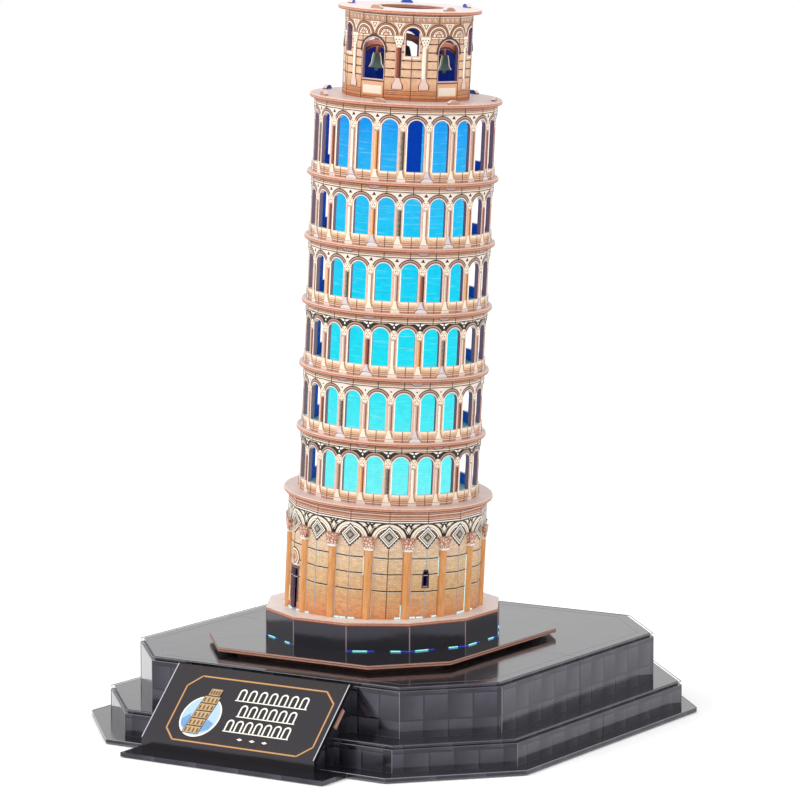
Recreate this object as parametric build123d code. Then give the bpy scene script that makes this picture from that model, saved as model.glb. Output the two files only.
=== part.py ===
from build123d import *
import os
from math import sin, cos, tan, radians, pi, sqrt

os.makedirs("parts", exist_ok=True)

# ---------------------------------------------------------------------------
# Lit leaning-tower model kit: printed foam board, slot-and-tab construction.
# Millimetres. +Z up, +X along the label from its left to its right, -Y is the
# label side. Origin: centre of the footprint, on the surface the model rests on.
# ---------------------------------------------------------------------------

T = 1.7            # foam board thickness
T0 = 1.8           # bottom plate thickness
GAP = 0.1          # half of the butt-joint gap between board halves
FOLD = 0.35        # width of board skin left at a folded edge

# stepped base, each tier an oblong octagon: half width, front y, back y,
# chamfer along x, chamfer along y
CY = 9.8                                   # shift that centres the footprint
PLATE = dict(hx=107.0, yf=-115.2 + CY, yb=112.4 + CY, cx=39.2, cy=42.4)
LOWER = dict(hx=100.1, yf=-105.8 + CY, yb=106.3 + CY, cx=35.1, cy=37.4)
UPPER = dict(hx=89.0, yf=-93.0 + CY, yb=95.0 + CY, cx=28.6, cy=31.0)
SEAM_Y = 1.0 + CY                          # front and back halves meet here
Z_LOWER = 12.7                             # top of lower deck
Z_UPPER = 33.2                             # top of upper deck
TONGUE = dict(x0=-48.0, x1=49.6, y=-132.0 + CY)

# sloped label stand
LAB_X0, LAB_X1 = -45.5, 38.5
LAB_TOP = (-95.1 + CY, 32.3)               # y, z of the outer top edge
LAB_BOT = (-121.0 + CY, 6.6)               # y, z of the fold above the foot

# tower seat
AX, AY = -2.0, -7.4 + CY                   # tower axis at the seat
FOOT = dict(hx=59.7, hy=68.9, cx=22.9, cy=26.3)
Z_FOOT = Z_UPPER + T + T                   # top of the foot plate
PLINTH_R, PLINTH_N = 50.3, 12
PLINTH_H = 10.4
Z_CAP = Z_FOOT + PLINTH_H + T              # top of the plinth cap, tower seat
LEAN_X, LEAN_Y = 3.59, -0.84               # lean of the tower axis, degrees

# tower, measured along its own axis from the seat
RING_H = [48.9, 75.4, 102.2, 128.9, 155.6, 182.4, 214.3]   # gallery ring tops
RING_R = [43.95, 39.75, 39.75, 39.75, 39.75, 39.75, 39.85]
GROUND_N, GROUND_R, GROUND_PH = 16, 41.7, 11.25
COL_R, COL_OUT = 1.75, 1.55                # half-round ground columns
LOG_N, LOG_R = 22, 37.9
LOG_PH = -58.9                             # direction of a loggia column
WIN_W, WIN_Z0, WIN_Z1 = 6.9, 4.6, 20.3     # loggia window
WIN7_W, WIN7_Z0, WIN7_Z1 = 6.8, 4.2, 25.3  # taller top loggia
CORE_R, CORE_T = 28.2, 0.7                 # translucent inner tube
BEL_N, BEL_R, BEL_H = 15, 26.5, 251.0      # belfry, top of its ring
BEL_PH = 305.5                             # direction of a narrow window
BEL_RING_R, BEL_HOLE_R = 29.6, 14.0
BELL_W, BELL_Z0, BELL_Z1 = 10.4, 8.2, 25.0
NAR_W, NAR_Z0, NAR_Z1 = 5.4, 18.2, 30.6
TAB_W = 5.0

# light module under the deck
MOD_X, MOD_Y = 64.0, 54.0
MOD_Z0, MOD_SPLIT, MOD_Z1 = 1.8, 10.5, 28.5
MW = 1.5                                   # module wall
DOOR_X, DOOR_Y = 53.0, 32.0
CELL_R, CELL_L = 7.2, 50.0
SW_Y = -21.5                               # switch slot centre, from the axis
SW_TRAVEL = 3.0


def poly(pts):
    return make_face(Polyline(*pts, close=True))


def prism(pts, z0, z1):
    return Pos(0, 0, z0) * extrude(poly(pts), amount=z1 - z0, dir=(0, 0, 1))


def octa(d, off=0.0):
    """Oblong octagon grown by off on every side."""
    cx, cy = d["cx"], d["cy"]
    L = sqrt(cx * cx + cy * cy)
    nx, ny = cy / L, cx / L
    k = cx * nx + off * (nx + ny) - off
    cx, cy = k / nx, k / ny
    x0, x1 = -d["hx"] - off, d["hx"] + off
    y0, y1 = d["yf"] - off, d["yb"] + off
    return [(x0, y0 + cy), (x0 + cx, y0), (x1 - cx, y0), (x1, y0 + cy),
            (x1, y1 - cy), (x1 - cx, y1), (x0 + cx, y1), (x0, y1 - cy)]


def ngon(n, r, ph):
    return [(r * cos(radians(ph + 360 * i / n)), r * sin(radians(ph + 360 * i / n))) for i in range(n)]


def tube_n(n, r, t, ph, z0, z1):
    """Folded board tube: n flat panels, outer corner radius r."""
    ri = r - t / cos(pi / n)
    return prism(ngon(n, r, ph), z0, z1) - prism(ngon(n, ri, ph), z0 - 1, z1 + 1)


def spin(a):
    return Rot(0, 0, a)


def arch(w, z0, z1, r_mid, depth=9.0):
    """Round-headed cutter pointing along +X."""
    zs = z1 - w / 2
    body = Pos(r_mid, 0, (z0 + zs) / 2) * Box(depth, w, zs - z0)
    head = Pos(r_mid, 0, zs) * Rot(0, 90, 0) * Cylinder(w / 2, depth)
    return body + head


def tab_pts(w, h0, h1, g=0.0):
    """Half-moon tab outline, half width w/2, from h0 up to h1."""
    a = w / 2 + g
    return [(-a, h0), (-a, h1 - 1.1), (-a * 0.8, h1 - 0.45 + g), (-a * 0.42, h1 + g),
            (a * 0.42, h1 + g), (a * 0.8, h1 - 0.45 + g), (a, h1 - 1.1), (a, h0)]


def tab(r_out, t, pts):
    """Plate of thickness t whose outer face is at radius r_out, along +X."""
    f = make_face(Polyline(*[(0, p[0], p[1]) for p in pts], close=True))
    return Pos(r_out - t, 0, 0) * extrude(f, amount=t, dir=(1, 0, 0))


def one(shape):
    s = shape.solids()
    if len(s) != 1:
        raise RuntimeError("expected one solid, got %d" % len(s))
    return s[0]


# axis of the leaning tower, turned from +Z by the smallest rotation
_ax, _ay = tan(radians(LEAN_X)), tan(radians(LEAN_Y))
_n = sqrt(_ax * _ax + _ay * _ay + 1)
ZD = (_ax / _n, _ay / _n, 1 / _n)
XD = (1 - ZD[0] ** 2 / (1 + ZD[2]), -ZD[0] * ZD[1] / (1 + ZD[2]), -ZD[0])
TOWER = Plane(origin=(AX, AY, Z_CAP), x_dir=XD, z_dir=ZD)
SEAT = Pos(AX, AY, 0)

nodes = {}


def put(name, shape):
    nodes[name] = shape


# ---------------------------------------------------------------- base plate
plate = prism(octa(PLATE), 0, T0)
plate += Pos((TONGUE["x0"] + TONGUE["x1"]) / 2, (TONGUE["y"] + PLATE["yf"] + 10) / 2, T0 / 2) * \
    Box(TONGUE["x1"] - TONGUE["x0"], PLATE["yf"] + 10 - TONGUE["y"], T0)
plate -= Pos(AX, AY, T0 / 2) * Box(MOD_X - 6, MOD_Y - 5, 4)
put("base_plate", one(plate))


# ---------------------------------------------------- folded tiers, two halves
def tier(d, z0, z1, inner):
    """Folded box: walls, and a deck whose outline sits one board inside them."""
    walls = prism(octa(d), z0, z1 - T) - prism(octa(d, -T), z0 - 1, z1)
    deck = prism(octa(d, -T + FOLD), z1 - T, z1) - inner
    return walls + deck


def half(shape, front):
    big = Box(400, 400, 100)
    y = SEAM_Y - GAP - 200 if front else SEAM_Y + GAP + 200
    return shape & (Pos(0, y, 30) * big)


low_hole = prism(octa(UPPER, -9.0), 0, Z_LOWER + 1)
low = tier(LOWER, T0, Z_LOWER, low_hole)
up_hole = SEAT * Pos(0, 0, Z_UPPER) * Cylinder(24, 10)
upp = tier(UPPER, Z_LOWER, Z_UPPER, up_hole)
# slots where the stand's cheeks hook into the upper front wall
put("lower_tier_front", one(half(low, True)))
put("lower_tier_back", one(half(low, False)))
put("upper_tier_front", one(half(upp, True)))
put("upper_tier_back", one(half(upp, False)))

# ribs that carry the deck, standing on the base plate
for nm, x in (("rib_left", -52.0), ("rib_right", 52.0)):
    y0, y1 = UPPER["yf"] + T + 0.3, UPPER["yb"] - T - 0.3
    low_y0, low_y1 = UPPER["yf"] + 9.3, UPPER["yb"] - 9.3
    rib = Pos(x, (low_y0 + low_y1) / 2, (T0 + Z_UPPER - T) / 2) * Box(T, low_y1 - low_y0, Z_UPPER - T - T0)
    rib += Pos(x, (y0 + y1) / 2, (Z_LOWER + Z_UPPER - T) / 2) * Box(T, y1 - y0, Z_UPPER - T - Z_LOWER)
    # centre notch for finger room and wiring
    rib -= Pos(x, SEAM_Y, T0 + 5) * Box(4, 30, 10.01)
    put(nm, one(rib))

# ------------------------------------------------------------- label stand
ty, tz = LAB_TOP
by, bz = LAB_BOT
sl = sqrt((ty - by) ** 2 + (tz - bz) ** 2)
ny, nz = -(tz - bz) / sl, (ty - by) / sl          # outward normal of the slope
wall_y = UPPER["yf"]
# inner line of the slope and of the foot drop
k = T * tan((pi / 2 - 0) / 2)
ity, itz = ty - ny * T, tz - nz * T
# intersection of the inner slope line with the inner foot plane y = by + T
sy, sz = ty - by, tz - bz
iby = by + T
ibz = itz + (iby - ity) / sy * sz


def yz_prism(pts, x0, x1):
    f = make_face(Polyline(*[(0, p[0], p[1]) for p in pts], close=True))
    return Pos(x0, 0, 0) * extrude(f, amount=x1 - x0, dir=(1, 0, 0))


# the panel: sloped face, short vertical foot; its top edge butts on the wall
top_in = itz + (wall_y - 0.02 - ity) / sy * sz
panel = yz_prism([(ty, tz), (by, bz), (by, T0), (iby, T0), (iby, ibz),
                  (wall_y, min(itz + (wall_y - ity) / sy * sz, tz)), (wall_y, tz)], LAB_X0, LAB_X1)
panel = panel & (Pos(0, -200 + wall_y, 20) * Box(400, 400, 100))
# slots for the cheek tabs near both ends of the slope
put("label_panel", one(panel))


def cheek(x0, x1):
    """Side of the stand: follows the stepped wall behind it and the slope in front."""
    pts = [(wall_y, Z_LOWER), (wall_y, itz + (wall_y - ity) / sy * sz), (iby, ibz), (iby, T0),
           (LOWER["yf"], T0), (LOWER["yf"], Z_LOWER - T), (LOWER["yf"] + T - FOLD, Z_LOWER - T),
           (LOWER["yf"] + T - FOLD, Z_LOWER)]
    return yz_prism(pts, x0, x1)


left = cheek(LAB_X0 + 0.8, LAB_X0 + 0.8 + T)
right = cheek(LAB_X1 - 0.8 - T, LAB_X1 - 0.8)
put("label_cheek_left", one(left))
put("label_cheek_right", one(right))
# strap that locks the stand: a strip behind the slope whose ends pass the cheeks
f0, f1 = 0.26, 0.50          # along the slope, from the top
inner_off = T + 1.4
p0 = (ty - sy * f0 - ny * inner_off, tz - sz * f0 - nz * inner_off)
p1 = (ty - sy * f1 - ny * inner_off, tz - sz * f1 - nz * inner_off)
q1 = (p1[0] - ny * T, p1[1] - nz * T)
q0 = (p0[0] - ny * T, p0[1] - nz * T)
strap = yz_prism([p0, p1, q1, q0], LAB_X0 + 0.3, LAB_X1 - 0.3)
slot_pts = [(p0[0] + (p0[0] - p1[0]) * 0.02 + ny * 0.06, p0[1] + (p0[1] - p1[1]) * 0.02 + nz * 0.06),
            (p1[0] - (p0[0] - p1[0]) * 0.02 + ny * 0.06, p1[1] - (p0[1] - p1[1]) * 0.02 + nz * 0.06),
            (q1[0] - (p0[0] - p1[0]) * 0.02 - ny * 0.06, q1[1] - (p0[1] - p1[1]) * 0.02 - nz * 0.06),
            (q0[0] + (p0[0] - p1[0]) * 0.02 - ny * 0.06, q0[1] + (p0[1] - p1[1]) * 0.02 - nz * 0.06)]
slot = yz_prism(slot_pts, -60, 60)
nodes["label_cheek_left"] = one(nodes["label_cheek_left"] - slot)
nodes["label_cheek_right"] = one(nodes["label_cheek_right"] - slot)
put("label_strap", one(strap))

# -------------------------------------------------- foot plate and plinth
fo = dict(hx=FOOT["hx"], yf=-FOOT["hy"], yb=FOOT["hy"], cx=FOOT["cx"], cy=FOOT["cy"])
spacer = prism(octa(fo, -9.0), Z_UPPER, Z_UPPER + T) - Pos(0, 0, Z_UPPER) * Cylinder(25, 10)
put("foot_spacer", one(SEAT * spacer))
foot = prism(octa(fo), Z_UPPER + T, Z_FOOT) - Pos(0, 0, Z_FOOT) * Cylinder(26, 10)
put("foot_plate", one(SEAT * foot))
put("plinth_wall", one(SEAT * tube_n(PLINTH_N, PLINTH_R, T, 15, Z_FOOT, Z_FOOT + PLINTH_H)))
cap = prism(ngon(PLINTH_N, PLINTH_R, 15), Z_CAP - T, Z_CAP) - Pos(0, 0, Z_CAP) * Cylinder(30, 10)
put("plinth_cap", one(SEAT * cap))

# ------------------------------------------------------------ ground storey
seat_cut = Pos(0, 0, Z_CAP - 50) * Box(300, 300, 100)
g_top = RING_H[0] - T
g_wall = tube_n(GROUND_N, GROUND_R, T, GROUND_PH, -6, g_top)
g_ap = GROUND_R * cos(pi / GROUND_N)
# one slit window and one doorway, cut through the board
slit_dir = GROUND_PH + 22.5 * 14               # arch centre just right of the front
g_wall -= spin(slit_dir) * Pos(GROUND_R - 1, 0, 19.1) * Box(9, 2.1, 6.6)
door_dir = GROUND_PH + 22.5 * 10
g_wall -= spin(door_dir) * Pos(GROUND_R - 1, 0, 7.0) * Box(9, 6.4, 20.0)
g_wall = TOWER * g_wall - seat_cut
put("ground_wall", one(g_wall))

cols = []
for i in range(GROUND_N):
    a = 360.0 / GROUND_N * i
    shaft = Pos(g_ap + COL_OUT - COL_R, 0, 13.0) * Cylinder(COL_R, 38.0) & (Pos(g_ap + 5, 0, 13) * Box(10, 10, 42))
    # flared capital on the shaft
    capz0, capz1 = 30.7, 36.3
    fcap = Plane.XY.offset(capz0) * make_face(Polyline((g_ap, -1.7), (g_ap + 1.5, -1.7), (g_ap + 1.5, 1.7), (g_ap, 1.7), close=True))
    tcap = Plane.XY.offset(capz1) * make_face(Polyline((g_ap, -3.0), (g_ap + 2.0, -3.0), (g_ap + 2.0, 3.0), (g_ap, 3.0), close=True))
    capital = loft([fcap, tcap])
    c = TOWER * (spin(a) * (shaft + capital)) - seat_cut
    cols.append(one(c))
put("ground_columns", Compound(children=cols))


# ------------------------------------------------------------ gallery rings
log_ap = LOG_R * cos(pi / LOG_N)
step = 360.0 / LOG_N
UPS = {2: 1, 3: 2, 4: 1, 5: 2, 6: 1, 7: 2}   # column residue of the tabs rising through a ring


def tab_dirs(k, up):
    """Directions of the tabs through ring k: rings 2 to 6 take tabs both ways, ring 7 only from below."""
    if k == 7 and not up:
        return []
    res = UPS[k] if up else (3 - UPS[k])
    return [LOG_PH + step * j for j in range(-10, 11) if j % 3 == res]


rings = []
for i in range(7):
    k = i + 1
    r_in = CORE_R + 0.15
    if k == 1:
        r_in = CORE_R - 3.0
    if k == 7:
        r_in = 22.0
    ring = Pos(0, 0, RING_H[i] - T / 2) * (Cylinder(RING_R[i], T) - Cylinder(r_in, T + 2))
    # rounded board rim
    ring = fillet(ring.edges().filter_by(GeomType.CIRCLE).sort_by(SortBy.RADIUS)[-2:], T * 0.32)
    if 2 <= k:
        for a in tab_dirs(k, True) + tab_dirs(k, False):
            ring -= spin(a) * Pos(log_ap - T / 2, 0, RING_H[i]) * Box(T + 0.2, TAB_W + 0.3, 8)
    rings.append(ring)
    put("gallery_ring_%d" % k, one(TOWER * ring))

# ------------------------------------------------------------ loggia walls
for k in range(2, 8):
    zb, zt = RING_H[k - 2], RING_H[k - 1] - T
    w = tube_n(LOG_N, LOG_R, T, LOG_PH + step / 2, zb, zt)
    ww, w0, w1 = (WIN7_W, WIN7_Z0, WIN7_Z1) if k == 7 else (WIN_W, WIN_Z0, WIN_Z1)
    cut = [spin(LOG_PH + step * (j + 0.5)) * arch(ww, zb + w0, zb + w1, LOG_R - 1) for j in range(LOG_N)]
    # tabs up through the ring above, notches over the tabs of the wall above
    if k <= 7:
        for a in tab_dirs(k, True):
            w += spin(a) * tab(log_ap, T, tab_pts(TAB_W, zt - 1, zt + T + 1.6))
        for a in tab_dirs(k, False):
            cut.append(spin(a) * tab(log_ap + 2, T + 4, [(p[0], 2 * zt - p[1]) for p in tab_pts(TAB_W, zt - 2, zt + 1.6, 0.15)]))
    if k >= 3:
        for a in tab_dirs(k - 1, False):
            w += spin(a) * tab(log_ap, T, [(p[0], 2 * zb - p[1]) for p in tab_pts(TAB_W, zb - 1, zb + T + 1.6)])
        for a in tab_dirs(k - 1, True):
            cut.append(spin(a) * tab(log_ap + 2, T + 4, tab_pts(TAB_W, zb - 2, zb + 1.6, 0.15)))
    w = w - cut
    put("loggia_wall_%d" % k, one(TOWER * one(w)))

# ------------------------------------------------------------ lit core tube
c0, c1 = RING_H[0], RING_H[6] - T
core = Pos(0, 0, (c0 + c1) / 2) * (Cylinder(CORE_R, c1 - c0) - Cylinder(CORE_R - CORE_T, c1 - c0 + 2))
core -= spin(LOG_PH + step / 2) * arch(7.6, RING_H[5] + 1.5, RING_H[6] - 4.0, CORE_R - 1, 6)
put("core_tube", one(TOWER * core))

# ------------------------------------------------------------ belfry
b0, b1 = RING_H[6], BEL_H - T
bel = tube_n(BEL_N, BEL_R, T, BEL_PH, b0, b1)
bel_ap = BEL_R * cos(pi / BEL_N)
bstep = 360.0 / BEL_N
cut = []
bell_dirs = [BEL_PH + 72 * j + 36 for j in range(5)]
for a in bell_dirs:
    cut.append(spin(a) * arch(BELL_W, b0 + BELL_Z0, b0 + BELL_Z1, BEL_R - 1, 7))
for j in range(5):
    cut.append(spin(BEL_PH + 72 * j) * arch(NAR_W, b0 + NAR_Z0, b0 + NAR_Z1, BEL_R - 1, 7))
bel = bel - cut
for a in bell_dirs:
    bel += spin(a) * tab(bel_ap, T, tab_pts(TAB_W, b1 - 1, b1 + T + 1.5))
put("belfry_wall", one(TOWER * one(bel)))

tr = Pos(0, 0, BEL_H - T / 2) * (Cylinder(BEL_RING_R, T) - Cylinder(BEL_HOLE_R, T + 2))
tr = fillet(tr.edges().filter_by(GeomType.CIRCLE).sort_by(SortBy.RADIUS)[-2:], T * 0.32)
for a in bell_dirs:
    tr -= spin(a) * Pos(bel_ap - T / 2, 0, BEL_H) * Box(T + 0.2, TAB_W + 0.3, 8)
put("belfry_ring", one(TOWER * tr))

# bell cards: beam, yoke and bell die-cut from one board, behind each bell window
cards = []
for a in bell_dirs:
    ro = bel_ap - T - 0.65
    z = b0 + BELL_Z0
    beam = [(-6.2, z + 10.2), (-4.6, z + 11.4), (-2.6, z + 12.6), (0, z + 13.0), (2.6, z + 12.6), (4.6, z + 11.4),
            (6.2, z + 10.2), (6.2, z + 13.9), (4.6, z + 14.8), (2.6, z + 15.6), (0, z + 16.0), (-2.6, z + 15.6),
            (-4.6, z + 14.8), (-6.2, z + 13.9)]
    side = [(-0.5, z + 13.2), (-0.5, z + 10.9), (-1.7, z + 10.3), (-2.2, z + 8.6), (-2.7, z + 6.0), (-3.9, z + 4.3),
            (3.9, z + 4.3), (2.7, z + 6.0), (2.2, z + 8.6), (1.7, z + 10.3), (0.5, z + 10.9), (0.5, z + 13.2)]
    c = tab(ro, T, beam) + tab(ro, T, side)
    c += spin(0) * tab(ro, T, [(-0.9, z + 4.4), (-0.9, z + 3.2), (0.9, z + 3.2), (0.9, z + 4.4)])
    cards.append(one(TOWER * (spin(a) * one(c))))
put("bell_cards", Compound(children=cards))

# ------------------------------------------------------------ light module
M = SEAT
lx, ly = MOD_X, MOD_Y
lower = Pos(0, 0, (MOD_Z0 + MOD_SPLIT) / 2) * Box(lx, ly, MOD_SPLIT - MOD_Z0)
lower -= Pos(0, 0, (MOD_Z0 + MW + MOD_SPLIT + 1) / 2) * Box(lx - 2 * MW, ly - 2 * MW, MOD_SPLIT + 1 - MOD_Z0 - MW)
lower -= Pos(0, 2.5, MOD_Z0) * Box(DOOR_X + 0.5, DOOR_Y + 0.5, 4)
lower -= Pos(0, SW_Y, MOD_Z0) * Box(8.4, 3.4, 4)
upper = Pos(0, 0, (MOD_SPLIT + MOD_Z1) / 2) * Box(lx, ly, MOD_Z1 - MOD_SPLIT)
upper -= Pos(0, 0, (MOD_SPLIT - 1 + MOD_Z1 - MW) / 2) * Box(lx - 2 * MW, ly - 2 * MW, MOD_Z1 - MW - MOD_SPLIT + 1)
upper -= Pos(0, 0, MOD_Z1) * Cylinder(13.2, 6)
posts, screws = [], []
for sx in (-1, 1):
    for sy_ in (-1, 1):
        px, py = sx * 28.0, sy_ * 23.4
        lower += Pos(px, py, (MOD_Z0 + MOD_SPLIT) / 2) * Cylinder(2.6, MOD_SPLIT - MOD_Z0)
        lower -= Pos(px, py, 6) * Cylinder(1.3, 20)
        lower -= Pos(px, py, MOD_Z0) * Cylinder(2.3, 3.0)
        upper += Pos(px, py, (MOD_SPLIT + MOD_Z1 - 0.5) / 2) * Cylinder(2.6, MOD_Z1 - 0.5 - MOD_SPLIT)
        upper -= Pos(px, py, MOD_SPLIT + 3) * Cylinder(1.05, 12)
        s = Pos(px, py, MOD_Z0 + 0.3 + 0.55) * Cylinder(2.1, 1.1) + Pos(px, py, MOD_Z0 + 1.4 + 5.6) * Cylinder(1.0, 11.3)
        screws.append(one(M * s))
# pillars that hold the circuit board up against the roof
for sx in (-1, 1):
    upper += Pos(sx * 17.0, 0, (22.0 + MOD_Z1 - 0.5) / 2) * Cylinder(2.0, MOD_Z1 - 0.5 - 22.0)
put("light_housing_lower", one(M * lower))
put("light_housing_upper", one(M * upper))
put("housing_screws", Compound(children=screws))

board = Pos(0, 0, 21.4) * Box(46, 30, 1.2)
put("circuit_board", one(M * board))
leds = []
for px, py in ((-6, -6), (6, -6), (-6, 6), (6, 6)):
    leds.append(one(M * (Pos(px, py, 23.9) * Cylinder(2.4, 3.8))))
put("light_emitters", Compound(children=leds))
lens = Pos(0, 0, 28.3) * Cylinder(13.0, 3.4) + Pos(0, 0, 26.6) * Cylinder(14.3, 0.8)
lens -= Pos(0, 0, 27.0) * Cylinder(11.6, 4.0)
put("light_diffuser", one(M * lens))

cells = [one(M * (Pos(0, 2.5 + sy_ * 7.5, 11.4) * Rot(0, 90, 0) * Cylinder(CELL_R, CELL_L))) for sy_ in (-1, 1)]
put("battery_cells", Compound(children=cells))
plates = []
for sx in (-1, 1):
    for sy_ in (-1, 1):
        plates.append(one(M * (Pos(sx * (CELL_L / 2 + 0.5), 2.5 + sy_ * 7.5, 11.4) * Box(0.5, 9, 10))))
put("battery_contacts", Compound(children=plates))

swb = Pos(0, SW_Y, MOD_Z0 + MW + 2.3) * Box(10.5, 5.0, 4.6)
swb -= Pos(0, SW_Y, MOD_Z0 + MW + 0.9) * Box(7.6, 3.2, 2.6)
put("switch_body", one(M * swb))
knob = Pos(SW_TRAVEL / 2, SW_Y, MOD_Z0 + 1.6) * Box(3.2, 2.4, 3.2) + \
    Pos(SW_TRAVEL / 2, SW_Y, MOD_Z0 - 0.55) * Box(3.2, 2.8, 1.1)
put("switch_slider", one(M * knob))

door = Pos(0, 2.5, MOD_Z0 + 0.75) * Box(DOOR_X, DOOR_Y, 1.5)
door += Pos(0, 2.5, MOD_Z0 + 1.75) * Box(DOOR_X - 2.4, 1.2, 1.0)
door -= Pos(0, 2.5 - DOOR_Y / 2 + 3.0, MOD_Z0 + 0.2) * Cylinder(2.2, 1.0)
door -= Pos(0, 2.5 - DOOR_Y / 2 + 3.0, MOD_Z0) * Cylinder(1.25, 6)
put("battery_door", one(M * door))
dscrew = Pos(0, 2.5 - DOOR_Y / 2 + 3.0, MOD_Z0 + 0.42) * Cylinder(2.0, 0.5) + \
    Pos(0, 2.5 - DOOR_Y / 2 + 3.0, MOD_Z0 + 1.4) * Cylinder(1.0, 2.0)
put("door_screw", one(M * dscrew))

for name, shape in nodes.items():
    export_step(shape, "parts/%s.step" % name)
print(len(nodes), "nodes")
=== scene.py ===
import math
import random

import bpy
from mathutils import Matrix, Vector


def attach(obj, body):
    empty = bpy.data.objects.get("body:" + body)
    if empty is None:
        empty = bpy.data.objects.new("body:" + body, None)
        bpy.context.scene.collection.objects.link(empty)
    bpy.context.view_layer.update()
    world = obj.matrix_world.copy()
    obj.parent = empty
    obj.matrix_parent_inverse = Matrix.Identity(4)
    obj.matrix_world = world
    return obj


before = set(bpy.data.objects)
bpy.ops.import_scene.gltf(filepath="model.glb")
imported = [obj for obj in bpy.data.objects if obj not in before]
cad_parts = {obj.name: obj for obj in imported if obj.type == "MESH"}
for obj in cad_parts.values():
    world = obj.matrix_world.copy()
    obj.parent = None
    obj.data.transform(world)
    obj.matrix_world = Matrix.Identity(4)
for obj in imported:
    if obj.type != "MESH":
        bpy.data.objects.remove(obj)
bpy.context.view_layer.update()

sc = bpy.context.scene
MM = 0.001

# ---------------------------------------------------------------- dimensions
# millimetres, the same values as the part's
T, T0, CY = 1.7, 1.8, 9.8
PLATE = dict(hx=107.0, yf=-115.2 + CY, yb=112.4 + CY, cx=39.2, cy=42.4)
LOWER = dict(hx=100.1, yf=-105.8 + CY, yb=106.3 + CY, cx=35.1, cy=37.4)
UPPER = dict(hx=89.0, yf=-93.0 + CY, yb=95.0 + CY, cx=28.6, cy=31.0)
SEAM_Y = 1.0 + CY
Z_LOWER, Z_UPPER = 12.7, 33.2
LAB_X0, LAB_X1 = -45.5, 38.5
LAB_TOP = (-95.1 + CY, 32.3)
LAB_BOT = (-121.0 + CY, 6.6)
TONGUE = dict(x0=-48.0, x1=49.6, y=-132.0 + CY)
AX, AY = -2.0, -7.4 + CY
FOOT = dict(hx=59.7, yf=-68.9, yb=68.9, cx=22.9, cy=26.3)
Z_FOOT = Z_UPPER + 2 * T
PLINTH_R, PLINTH_N, PLINTH_H = 50.3, 12, 10.4
Z_CAP = Z_FOOT + PLINTH_H + T
LEAN_X, LEAN_Y = 3.59, -0.84
RING_H = [48.9, 75.4, 102.2, 128.9, 155.6, 182.4, 214.3]
RING_R = [43.95, 39.75, 39.75, 39.75, 39.75, 39.75, 39.85]
GROUND_N, GROUND_R, GROUND_PH = 16, 41.7, 11.25
LOG_N, LOG_R, LOG_PH = 22, 37.9, -58.9
BEL_N, BEL_R, BEL_H, BEL_PH = 15, 26.5, 251.0, 305.5
STEP = 360.0 / LOG_N
UPS = {2: 1, 3: 2, 4: 1, 5: 2, 6: 1, 7: 2}

_ax, _ay = math.tan(math.radians(LEAN_X)), math.tan(math.radians(LEAN_Y))
_n = math.sqrt(_ax * _ax + _ay * _ay + 1)
ZD = Vector((_ax / _n, _ay / _n, 1 / _n))
XD = Vector((1 - ZD.x ** 2 / (1 + ZD.z), -ZD.x * ZD.y / (1 + ZD.z), -ZD.x))
YD = ZD.cross(XD)
ORG = Vector((AX, AY, Z_CAP))


def tower(a, r, h, t=0.0):
    """Point of the leaning tower: direction a in degrees, radius r, height h, t sideways."""
    c, s = math.cos(math.radians(a)), math.sin(math.radians(a))
    return ORG + XD * (c * r - s * t) + YD * (s * r + c * t) + ZD * h


def octa(d, off=0.0):
    cx, cy = d["cx"], d["cy"]
    L = math.sqrt(cx * cx + cy * cy)
    nx, ny = cy / L, cx / L
    k = cx * nx + off * (nx + ny) - off
    cx, cy = k / nx, k / ny
    x0, x1 = -d["hx"] - off, d["hx"] + off
    y0, y1 = d["yf"] - off, d["yb"] + off
    return [(x0, y0 + cy), (x0 + cx, y0), (x1 - cx, y0), (x1, y0 + cy),
            (x1, y1 - cy), (x1 - cx, y1), (x0 + cx, y1), (x0, y1 - cy)]


def lin(r, g, b):
    """sRGB 0-255 to linear."""
    out = []
    for v in (r, g, b):
        v /= 255.0
        out.append(v / 12.92 if v <= 0.04045 else ((v + 0.055) / 1.055) ** 2.4)
    return tuple(out)


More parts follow.
